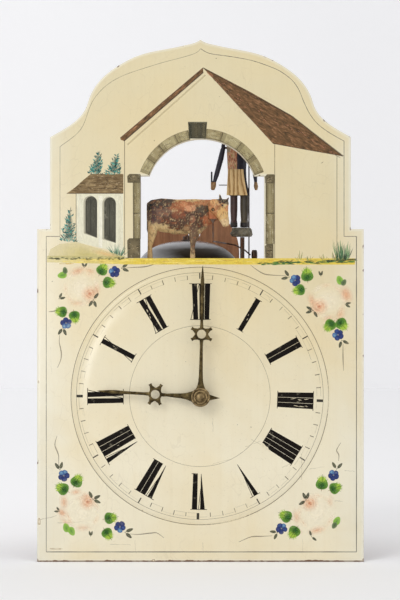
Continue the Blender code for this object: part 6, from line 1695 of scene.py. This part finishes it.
class SHIELDCLOCK_OT_bell(bpy.types.Operator):
    """Make the smooth steel bell, its nut and washer"""

    bl_idname = "shieldclock.bell"
    bl_label = "Bell"

    def execute(self, context):
        x, y = (BELL_LOW.x + BELL_HIGH.x) / 2, (BELL_LOW.y + BELL_HIGH.y) / 2
        radius, mouth, height = BELL_HIGH.x - x, BELL_LOW.z, BELL_HIGH.z - BELL_LOW.z
        wall, curve, hole = 0.0022, 2.3, 0.0029
        outside, inside = [], []
        for i in range(25):
            share = 0.985 * math.sin(math.pi / 2 * i / 24)
            shrink = (1 - share**curve) ** (1 / curve)
            outside.append((radius * shrink, mouth + share * height))
            inside.append(((radius - wall) * shrink, mouth + share * (height - wall)))
        top_hole = [(hole, mouth + height), (hole, mouth + height - wall)]
        profile = outside + top_hole + inside[::-1] + [outside[0]]
        bm = spun(profile, (x, y, 0), "Z", 96)
        make_piece("bell_dome", bm, "bell_steel", "case", ("bell",), 50.0)

        top = BELL_HIGH.z
        rings = [(0.0026, top), (0.0062, top), (0.0064, top + 0.0004), (0.0060, top + 0.0008),
                 (0.0048, top + 0.0009), (0.0048, top + 0.0034), (0.0043, top + 0.0040),
                 (0.0026, top + 0.0041)]
        bm = spun(rings + [rings[0]], (x, y, 0), "Z", 36)
        make_piece("bell_nut", bm, "iron", "case")
        return {"FINISHED"}


# Patches on the ox: place across and up, half width and height in millimetres, display colour, strength
# The thin cream band along the top of the back and the pink spot on the middle of the side are painted
# highlights; the other patches are the hide's own colours.
OX_PATCHES = [(-46.5, 140.0, 5.5, 15.0, (204, 168, 114), 0.7),
              (-49.4, 133.0, 1.8, 10.0, (126, 88, 52), 0.7), (-36.5, 162.5, 13.0, 9.6, (104, 78, 66), 0.97),
              (-35.0, 173.0, 14.5, 5.8, (62, 50, 43), 0.97), (-46.2, 169.0, 3.4, 4.4, (30, 28, 28), 0.97),
              (-42.4, 160.5, 3.0, 7.2, (74, 55, 56), 0.85), (-31.0, 157.0, 4.6, 4.2, (82, 58, 40), 0.85),
              (-14.5, 169.0, 12.5, 7.2, (150, 88, 54), 0.95),
              (-3.7, 177.0, 21.0, 2.2, (206, 176, 122), 0.85), (6.5, 172.6, 11.0, 4.4, (172, 112, 74), 0.9),
              (2.2, 165.2, 10.6, 6.2, (74, 64, 52), 0.97), (-12.6, 156.0, 20.0, 9.8, (68, 43, 31), 0.97),
              (-19.5, 162.0, 6.0, 3.8, (126, 70, 44), 0.85), (-9.5, 168.0, 5.4, 3.2, (206, 148, 108), 0.85),
              (-15.0, 171.5, 3.6, 2.4, (192, 128, 86), 0.75), (-6.0, 141.0, 5.4, 13.0, (96, 72, 54), 0.92),
              (-12.5, 150.0, 3.0, 2.4, (190, 150, 104), 0.6), (-7.0, 158.0, 2.6, 3.2, (150, 110, 84), 0.6),
              (9.0, 157.0, 7.4, 6.6, (172, 100, 62), 0.9)]
OX_HEAD_PATCHES = [(12.0, 166.0, 10.0, 10.0, (178, 118, 74), 0.95),
                   (20.0, 163.0, 5.6, 6.0, (212, 172, 110), 0.85),
                   (20.8, 175.6, 7.4, 4.6, (46, 43, 39), 0.98),
                   (22.0, 153.5, 5.4, 4.8, (224, 194, 148), 0.88),
                   (8.5, 157.6, 5.6, 5.8, (168, 98, 60), 0.9), (24.0, 168.0, 2.4, 3.0, (198, 120, 78), 0.6),
                   (12.5, 173.5, 4.0, 3.0, (210, 160, 104), 0.7),
                   (16.0, 168.5, 2.0, 2.6, (120, 76, 46), 0.6)]


# Middle of the ox from front to back, and the reach of the lever under its neck
OX_Y = -0.1205
LEVER_X = 0.0114
LEVER_REACH_X = 0.0150
LEVER_TOP_Z = 0.1585


def paint_patches(mesh, ground, patches):
    """Keeps a colour for each point of a carving, mixed from soft patches with rough edges."""
    layer = mesh.color_attributes.new("paint", "FLOAT_COLOR", "POINT")
    for vert, kept in zip(mesh.vertices, layer.data):
        rough = 0.55 * noise.noise(vert.co * 330) + 0.35 * noise.noise(vert.co * 900)
        tone = Vector(ground[:3])
        for x, z, wide, tall, colour, strength in patches:
            reach = ((vert.co.x / MM - x) / wide) ** 2 + ((vert.co.z / MM - z) / tall) ** 2
            share = min(1.0, max(0.0, 1.8 * (1.2 - reach + rough)))
            tone = tone.lerp(Vector(srgb(*colour)[:3]), share * strength)
        kept.color = (*tone, 1.0)


class SHIELDCLOCK_OT_ox(bpy.types.Operator):
    """Carve the ox, with a head that nods"""

    bl_idname = "shieldclock.ox"
    bl_label = "Ox"

    def execute(self, context):
        figure = settings().figure
        cell = figure.grain
        mesh = carved_mesh("carved_ox", "ox_body", self.body_lumps, cell, 6)
        paint_patches(mesh, figure.hide, OX_PATCHES)
        place_piece("carved_ox", mesh, "ox_hide", "case", ("ox_body",))
        mesh = carved_mesh("carved_ox_head", "ox_head", self.head_lumps, cell * 0.8, 4)
        paint_patches(mesh, figure.hide, OX_HEAD_PATCHES)
        head = place_piece("carved_ox_head", mesh, "ox_hide", "ox_head", ("ox_head",))
        self.lever(head)
        self.hooves()
        self.tail()
        self.face()
        return {"FINISHED"}

    def body_lumps(self, bm):
        low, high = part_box("ox_body")
        for x, z, size in (
            (low.x + 0.0085, high.z - 0.0125, (0.0075, 0.0078, 0.0105)),
            (low.x + 0.0415, high.z - 0.0150, (0.0078, 0.0079, 0.0125)),
            (low.x + 0.0260, high.z - 0.0205, (0.0140, 0.0079, 0.0120)),
            (-0.0033, 0.1500, (0.0058, 0.0062, 0.0056)),
            (-0.0050, 0.1450, (0.0042, 0.0054, 0.0060)),
        ):
            blob(bm, (x, OX_Y, z), size)

    def head_lumps(self, bm):
        low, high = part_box("ox_head")
        y = (low.y + high.y) / 2
        blob(bm, (high.x - 0.0040, y, low.z + 0.0172), (0.0030, 0.0031, 0.0026))
        blob(bm, (high.x - 0.0068, y, high.z - 0.0090), (0.0040, 0.0035, 0.0032))

    def lever(self, head):
        """The thin iron lever under the neck, by which the head is pulled."""
        mesh = head.data
        mesh.materials.append(finishes["iron"])
        for vert in mesh.vertices:
            if vert.co.z < LEVER_TOP_Z and vert.co.x < LEVER_REACH_X:
                slim = min(1.0, (LEVER_TOP_Z - vert.co.z) / 0.003)
                vert.co.x += (LEVER_X - vert.co.x) * 0.66 * slim
        for face in mesh.polygons:
            if face.center.z < LEVER_TOP_Z and face.center.x < LEVER_REACH_X:
                face.material_index = 1

    def hooves(self):
        bm = bmesh.new()
        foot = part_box("ox_body")[0].z
        for x in (-0.0455, -0.007):
            for side in (-1, 1):
                blob(bm, (x, OX_Y + side * 0.004, foot + 0.0014), (0.0031, 0.0022, 0.0017), level=2)
        for vert in bm.verts:
            vert.co.z = max(vert.co.z, foot + 0.00005)
        make_piece("ox_hooves", bm, "dark_paint", "case")

    def tail(self):
        low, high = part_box("ox_body")
        bm = bmesh.new()
        run = [(low.x + out, OX_Y, high.z - down) for out, down in
               ((0.0030, 0.0085), (0.0012, 0.0130), (0.0009, 0.0200), (0.0013, 0.0280), (0.0018, 0.0330))]
        tube_run(bm, run, [0.0011, 0.0009, 0.0008, 0.0012, 0.0003])
        bmesh.ops.recalc_face_normals(bm, faces=bm.faces)
        make_piece("ox_tail", bm, "dark_paint", "case", (), 80.0)

    def face(self):
        low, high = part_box("ox_head")
        y = (low.y + high.y) / 2
        bm = bmesh.new()
        for side in (-1, 1):
            blob(bm, (high.x - 0.0064, y + side * 0.0033, high.z - 0.0102), (0.0010, 0.0007, 0.0009),
                 level=2)
            blob(bm, (high.x - 0.0026, y + side * 0.0016, low.z + 0.0168), (0.0006, 0.0008, 0.0005),
                 level=2)
        make_piece("ox_eyes", bm, "dark_paint", "ox_head")


# How the butcher's clothes are divided: places across and heights
BUTTONS_X = 0.0335
LEGS_X = 0.0372
SHIRT_X = 0.0272
COAT_HEM_Z = 0.1830
SHIRT_Z = 0.2210
COLLAR_Z = 0.2335
HIP_PIN_Z = 0.1911
BOOT_HEIGHT = 0.0042
HAND_LENGTH = 0.0075


class SHIELDCLOCK_OT_butcher(bpy.types.Operator):
    """Carve the butcher, with arms that swing, an apron and a mound to stand on"""

    bl_idname = "shieldclock.butcher"
    bl_label = "Butcher"

    def execute(self, context):
        cell = settings().figure.grain * 0.75
        mesh = carved_mesh("carved_body", "figure_body", self.body_lumps, cell, 4)
        body = place_piece("carved_body", mesh, "coat_paint", "case", ("figure_body",))
        self.dress(body)
        for node in ("right_arm", "left_arm"):
            mesh = carved_mesh("carved_" + node, node, None, cell * 0.8, 3)
            arm = place_piece("carved_" + node, mesh, "coat_paint", "arms", (node,))
            self.sleeve(arm)
        mesh = carved_mesh("carved_head", "figure_head", self.head_lumps, cell * 0.7, 3)
        place_piece("carved_head", mesh, "skin_paint", "case", ("figure_head",))
        mesh = carved_mesh("carved_mound", "figure_platform", None, cell, 3)
        self.roughen(mesh)
        place_piece("carved_mound", mesh, "ground_paint", "case", ("figure_platform",))
        self.apron()
        self.hip_pin()
        self.face()
        return {"FINISHED"}

    def hip_pin(self):
        """A short wire that stands out of the hip, on the side of the ox."""
        low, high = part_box("figure_body")
        y = (low.y + high.y) / 2
        bm = bmesh.new()
        run = [(x, y, HIP_PIN_Z) for x in (0.0168, 0.0172, 0.0210, 0.0270)]
        tube_run(bm, run, [0.0002, 0.00042, 0.00042, 0.00042])
        bmesh.ops.recalc_face_normals(bm, faces=bm.faces)
        make_piece("hip_pin", bm, "dark_paint", "case")

    def body_lumps(self, bm):
        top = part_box("figure_body")[1].z
        blob(bm, (BUTTONS_X, -0.0880, top - 0.0130), (0.0088, 0.0046, 0.0052))

    def head_lumps(self, bm):
        low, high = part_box("figure_head")
        x, y = (low.x + high.x) / 2, (low.y + high.y) / 2
        blob(bm, (x, low.y + 0.0004, low.z + 0.0084), (0.0010, 0.0012, 0.0017))
        blob(bm, (x, low.y + 0.0022, low.z + 0.0030), (0.0024, 0.0018, 0.0014))
        for side in (-1, 1):
            blob(bm, (x + side * 0.0057, y, low.z + 0.0088), (0.0007, 0.0012, 0.0018))

    def dress(self, body):
        """Waistcoat and shirt on the front left, one brown and one dark leg, black boots."""
        mesh = body.data
        for name in ("vest_paint", "trouser_paint", "dark_paint", "stocking_paint", "shirt_paint"):
            mesh.materials.append(finishes[name])
        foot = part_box("figure_body")[0].z
        for face in mesh.polygons:
            spot = face.center
            if spot.z < foot + BOOT_HEIGHT:
                face.material_index = 3
            elif spot.z < COAT_HEM_Z:
                face.material_index = 2 if spot.x < LEGS_X else 4
            elif spot.x < BUTTONS_X and face.normal.y < 0.3 and spot.z < COLLAR_Z:
                face.material_index = 5 if spot.x < SHIRT_X and spot.z > SHIRT_Z else 1

    def roughen(self, mesh):
        """Hacks the sides of the mound, more so towards its top and its foot."""
        low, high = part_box("figure_platform")
        x, y = (low.x + high.x) / 2, (low.y + high.y) / 2
        for vert in mesh.vertices:
            rise = max(0.0, (vert.co.z - low.z) / (high.z - low.z))
            cut = 0.17 * max(0.0, rise - 0.3) + 0.5 * max(0.0, 0.3 - rise) + 0.02
            cut += 0.13 * noise.noise(vert.co * 240) + 0.05 * noise.noise(vert.co * 700)
            vert.co.x += (x - vert.co.x) * max(0.0, cut)
            vert.co.y += (y - vert.co.y) * max(0.0, cut)

    def sleeve(self, arm):
        mesh = arm.data
        mesh.materials.append(finishes["skin_paint"])
        low = min(vert.co.z for vert in mesh.vertices)
        for face in mesh.polygons:
            if face.center.z < low + HAND_LENGTH:
                face.material_index = 1

    def apron(self):
        low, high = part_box("figure_apron")
        bm = bmesh.new()
        wide, tall = high.x - low.x, high.z - low.z
        middle = ((low.x + high.x) / 2, (low.y + high.y) / 2, (low.z + high.z) / 2)
        stand = Matrix.Translation(middle) @ Matrix.Rotation(math.pi / 2, 4, "X")
        bmesh.ops.create_grid(bm, x_segments=90, y_segments=24, size=0.5,
                              matrix=stand @ Matrix.Diagonal((wide, tall, 1, 1)))
        front, back = low.y, high.y
        folds = bm.verts.layers.float.new("fold")
        for vert in bm.verts:
            drop = max(0.0, (high.z - vert.co.z) / tall)
            share = (vert.co.x - low.x) / wide
            left, right = 0.06 * (1 - drop), 0.80 + 0.20 * drop**1.4
            vert.co.x = low.x + wide * (left + (right - left) * share)
            fold = 0.5 + 0.5 * math.cos(TURN * (4.6 * share + 0.14 * math.sin(4 * drop + 9 * share)))
            # The fold value also paints the hollows of the pleats darker as shade.
            vert[folds] = fold if share < 0.89 else -1.0
            vert.co.y = back - 0.0007 - (0.0004 + 0.0010 * drop) * fold
        bmesh.ops.solidify(bm, geom=list(bm.faces), thickness=0.0005)
        for vert in bm.verts:
            vert.co.y = min(max(vert.co.y, front), back)
            vert.co.x = min(max(vert.co.x, low.x), high.x)
        bmesh.ops.recalc_face_normals(bm, faces=bm.faces)
        apron = make_piece("pleated_apron", bm, "apron_paint", "case", ("figure_apron",),
                           60.0)

    def face(self):
        low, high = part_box("figure_head")
        x = (low.x + high.x) / 2
        bm = bmesh.new()
        for side in (-1, 1):
            blob(bm, (x + side * 0.0021, low.y + 0.0014, low.z + 0.0104), (0.0007, 0.0005, 0.0005), level=2)
        make_piece("butcher_eyes", bm, "dark_paint", "case")
        bm = bmesh.new()
        blob(bm, (x, (low.y + high.y) / 2 + 0.0006, high.z - 0.0060), (0.0064, 0.0066, 0.0058), level=4)
        made = bmesh.ops.bisect_plane(bm, geom=list(bm.verts) + list(bm.edges) + list(bm.faces),
                                      plane_co=(x, low.y, high.z - 0.0068), plane_no=(0, 0.25, -1),
                                      clear_outer=True)
        edges = [item for item in made["geom_cut"] if isinstance(item, bmesh.types.BMEdge)]
        bmesh.ops.contextual_create(bm, geom=edges)
        for vert in bm.verts:
            vert.co.z = min(vert.co.z, high.z)
        bmesh.ops.recalc_face_normals(bm, faces=bm.faces)
        make_piece("butcher_cap", bm, "coat_paint", "case", (), 50.0)


# Movement


class SHIELDCLOCK_OT_movement(bpy.types.Operator):
    """Give every solid of the movement, case and linkages its finish"""

    bl_idname = "shieldclock.movement"
    bl_label = "Movement"

    def execute(self, context):
        by_slot = {"beech": "beech", "stained_board": "stained_wood", "brass": "wheel_brass",
                   "hand_brass": "hand_brass", "iron_wire": "iron", "steel": "arbor_steel",
                   "ox_paint": "ox_hide", "coat_paint": "coat_paint", "apron_paint": "apron_paint",
                   "skin_paint": "skin_paint", "ground_paint": "ground_paint", "lacquered_board": "lacquer"}
        level = ("top_plate", "bottom_plate", "upper_batten", "lower_batten", "ox_shelf")
        for entry in frame["record"]["subparts"]:
            node = frame["nodes"][entry["node"]]
            finish = by_slot[entry["material_slot"]]
            if entry["node"] in level:
                finish = "beech_along"
            for holder in node.material_slots:
                holder.material = finishes[finish]
        return {"FINISHED"}


# Stage


class SHIELDCLOCK_OT_stage(bpy.types.Operator):
    """Set up the pale floor and backdrop, the soft light and the camera"""

    bl_idname = "shieldclock.stage"
    bl_label = "Stage"

    def execute(self, context):
        stage = settings().stage
        scene = context.scene
        scene.view_settings.view_transform = "Standard"
        self.backdrop(stage)
        self.sky(stage)
        for name, power, place, wide, tall in (
            ("key_light", stage.key_power, (-1.15, -1.75, 1.35), 1.1, 1.1),
            ("fill_light", stage.fill_power, (1.5, -1.6, 0.6), 1.4, 1.4),
            ("glint_light", stage.glint_power, (-0.37, -1.80, 0.10), 0.10, 0.30),
        ):
            light = bpy.data.lights.new(name, "AREA")
            light.energy = power
            light.shape = "RECTANGLE"
            light.size = wide
            light.size_y = tall
            lamp = bpy.data.objects.new(name, light)
            plain = name != "glint_light"
            lamp.visible_diffuse = plain
            light.use_shadow = plain
            lamp.location = place
            aim = Vector((0, -0.1, 0.08)) - lamp.location
            lamp.rotation_euler = aim.to_track_quat("-Z", "Y").to_euler()
            scene.collection.objects.link(lamp)
        camera = bpy.data.cameras.new("camera")
        camera.lens = stage.lens
        camera.sensor_width = 36
        camera.clip_start = 0.05
        view = bpy.data.objects.new("camera", camera)
        view.location = (CAMERA_X, FACE_Y - stage.distance, CAMERA_Z)
        view.rotation_euler = (math.pi / 2, 0, 0)
        scene.collection.objects.link(view)
        scene.camera = view
        return {"FINISHED"}

    def backdrop(self, stage):
        tree, shader = new_finish("stage_paper", 0.9)
        shader.inputs["Base Color"].default_value = stage.backdrop
        shader.inputs["Emission Color"].default_value = (1, 1, 1, 1)
        # Painted light: the floor just past the clock glows, to lift the shadow that the clock casts on it.
        shadow_fill_glow = tree.spread(tree.part(tree.coords(), "Y"), -0.2, 0.05, 0.0, 0.155)
        reach = tree.add("ShaderNodeVectorMath", operation="LENGTH")
        tree.feed(reach.inputs[0], tree.coords((1, 1, 0.001)))
        around = tree.spread(reach.outputs["Value"], 0.5, 1.3, 0.0, 0.155)
        far = tree.spread(reach.outputs["Value"], 0.2, 2.5, 0.0, 0.045)
        painted_glow = tree.math("ADD", tree.math("MAXIMUM", shadow_fill_glow, around), far)
        # Painted light: the glow is stronger at the left and weaker at the right, as a falloff of the light
        # across the backdrop.
        across = tree.spread(tree.part(tree.coords(), "X"), -0.4, 0.4, 1.08, 0.82)
        painted_glow = tree.times(painted_glow, across)
        tree.feed(shader.inputs["Emission Strength"], tree.times(tree.seen(), painted_glow))
        bm = bmesh.new()
        bmesh.ops.create_grid(bm, x_segments=1, y_segments=1, size=3.0,
                              matrix=Matrix.Translation((0, 0, CAD_BOX[0][2])))
        far = max(vert.co.y for vert in bm.verts)
        back = [edge for edge in bm.edges if all(vert.co.y > far - 0.01 for vert in edge.verts)]
        made = bmesh.ops.extrude_edge_only(bm, edges=back)["geom"]
        bmesh.ops.translate(bm, verts=[v for v in made if isinstance(v, bmesh.types.BMVert)],
                            vec=(0, 0, 4.0))
        mesh = bpy.data.meshes.new("stage_floor")
        bm.to_mesh(mesh)
        bm.free()
        mesh.materials.append(finishes["stage_paper"])
        floor = bpy.data.objects.new("stage_floor", mesh)
        bpy.context.scene.collection.objects.link(floor)

    def sky(self, stage):
        world = bpy.data.worlds.new("sky")
        bpy.context.scene.world = world
        world.use_nodes = True
        tree = ShaderTree(world.node_tree)
        light = world.node_tree.nodes["Background"]
        light.inputs["Color"].default_value = (1, 1, 1, 1)
        tree.feed(light.inputs["Strength"], tree.spread(tree.seen(), 0, 1, stage.sky, 0.95))


STEPS = (SHIELDCLOCK_OT_board, SHIELDCLOCK_OT_marks, SHIELDCLOCK_OT_dial, SHIELDCLOCK_OT_border,
         SHIELDCLOCK_OT_sprays, SHIELDCLOCK_OT_house, SHIELDCLOCK_OT_hands, SHIELDCLOCK_OT_bell,
         SHIELDCLOCK_OT_ox, SHIELDCLOCK_OT_butcher, SHIELDCLOCK_OT_movement, SHIELDCLOCK_OT_stage)


class SHIELDCLOCK_PT_panel(bpy.types.Panel):
    """Lists the steps that make the shield clock"""

    bl_idname = "SHIELDCLOCK_PT_panel"
    bl_label = "Shield Clock"
    bl_space_type = "VIEW_3D"
    bl_region_type = "UI"
    bl_category = "Shield Clock"

    def draw(self, context):
        for step in STEPS:
            self.layout.operator(step.bl_idname)


CLASSES = (
    ClockBoardSettings, ClockPaintSettings, ClockMetalSettings, ClockFigureSettings, ClockStageSettings,
    ShieldClockSettings,
) + STEPS + (SHIELDCLOCK_PT_panel,)


def register():
    for entry in CLASSES:
        bpy.utils.register_class(entry)
    bpy.types.Scene.shield_clock = bpy.props.PointerProperty(type=ShieldClockSettings)


def unregister():
    del bpy.types.Scene.shield_clock
    for entry in reversed(CLASSES):
        bpy.utils.unregister_class(entry)


def main():
    register()
    make_groups()
    make_finishes()
    bpy.ops.shieldclock.board()
    bpy.ops.shieldclock.marks()
    bpy.ops.shieldclock.dial()
    bpy.ops.shieldclock.border()
    bpy.ops.shieldclock.sprays()
    bpy.ops.shieldclock.house()
    bpy.ops.shieldclock.hands()
    bpy.ops.shieldclock.bell()
    bpy.ops.shieldclock.ox()
    bpy.ops.shieldclock.butcher()
    bpy.ops.shieldclock.movement()
    bpy.ops.shieldclock.stage()


if __name__ == "__main__":
    main()
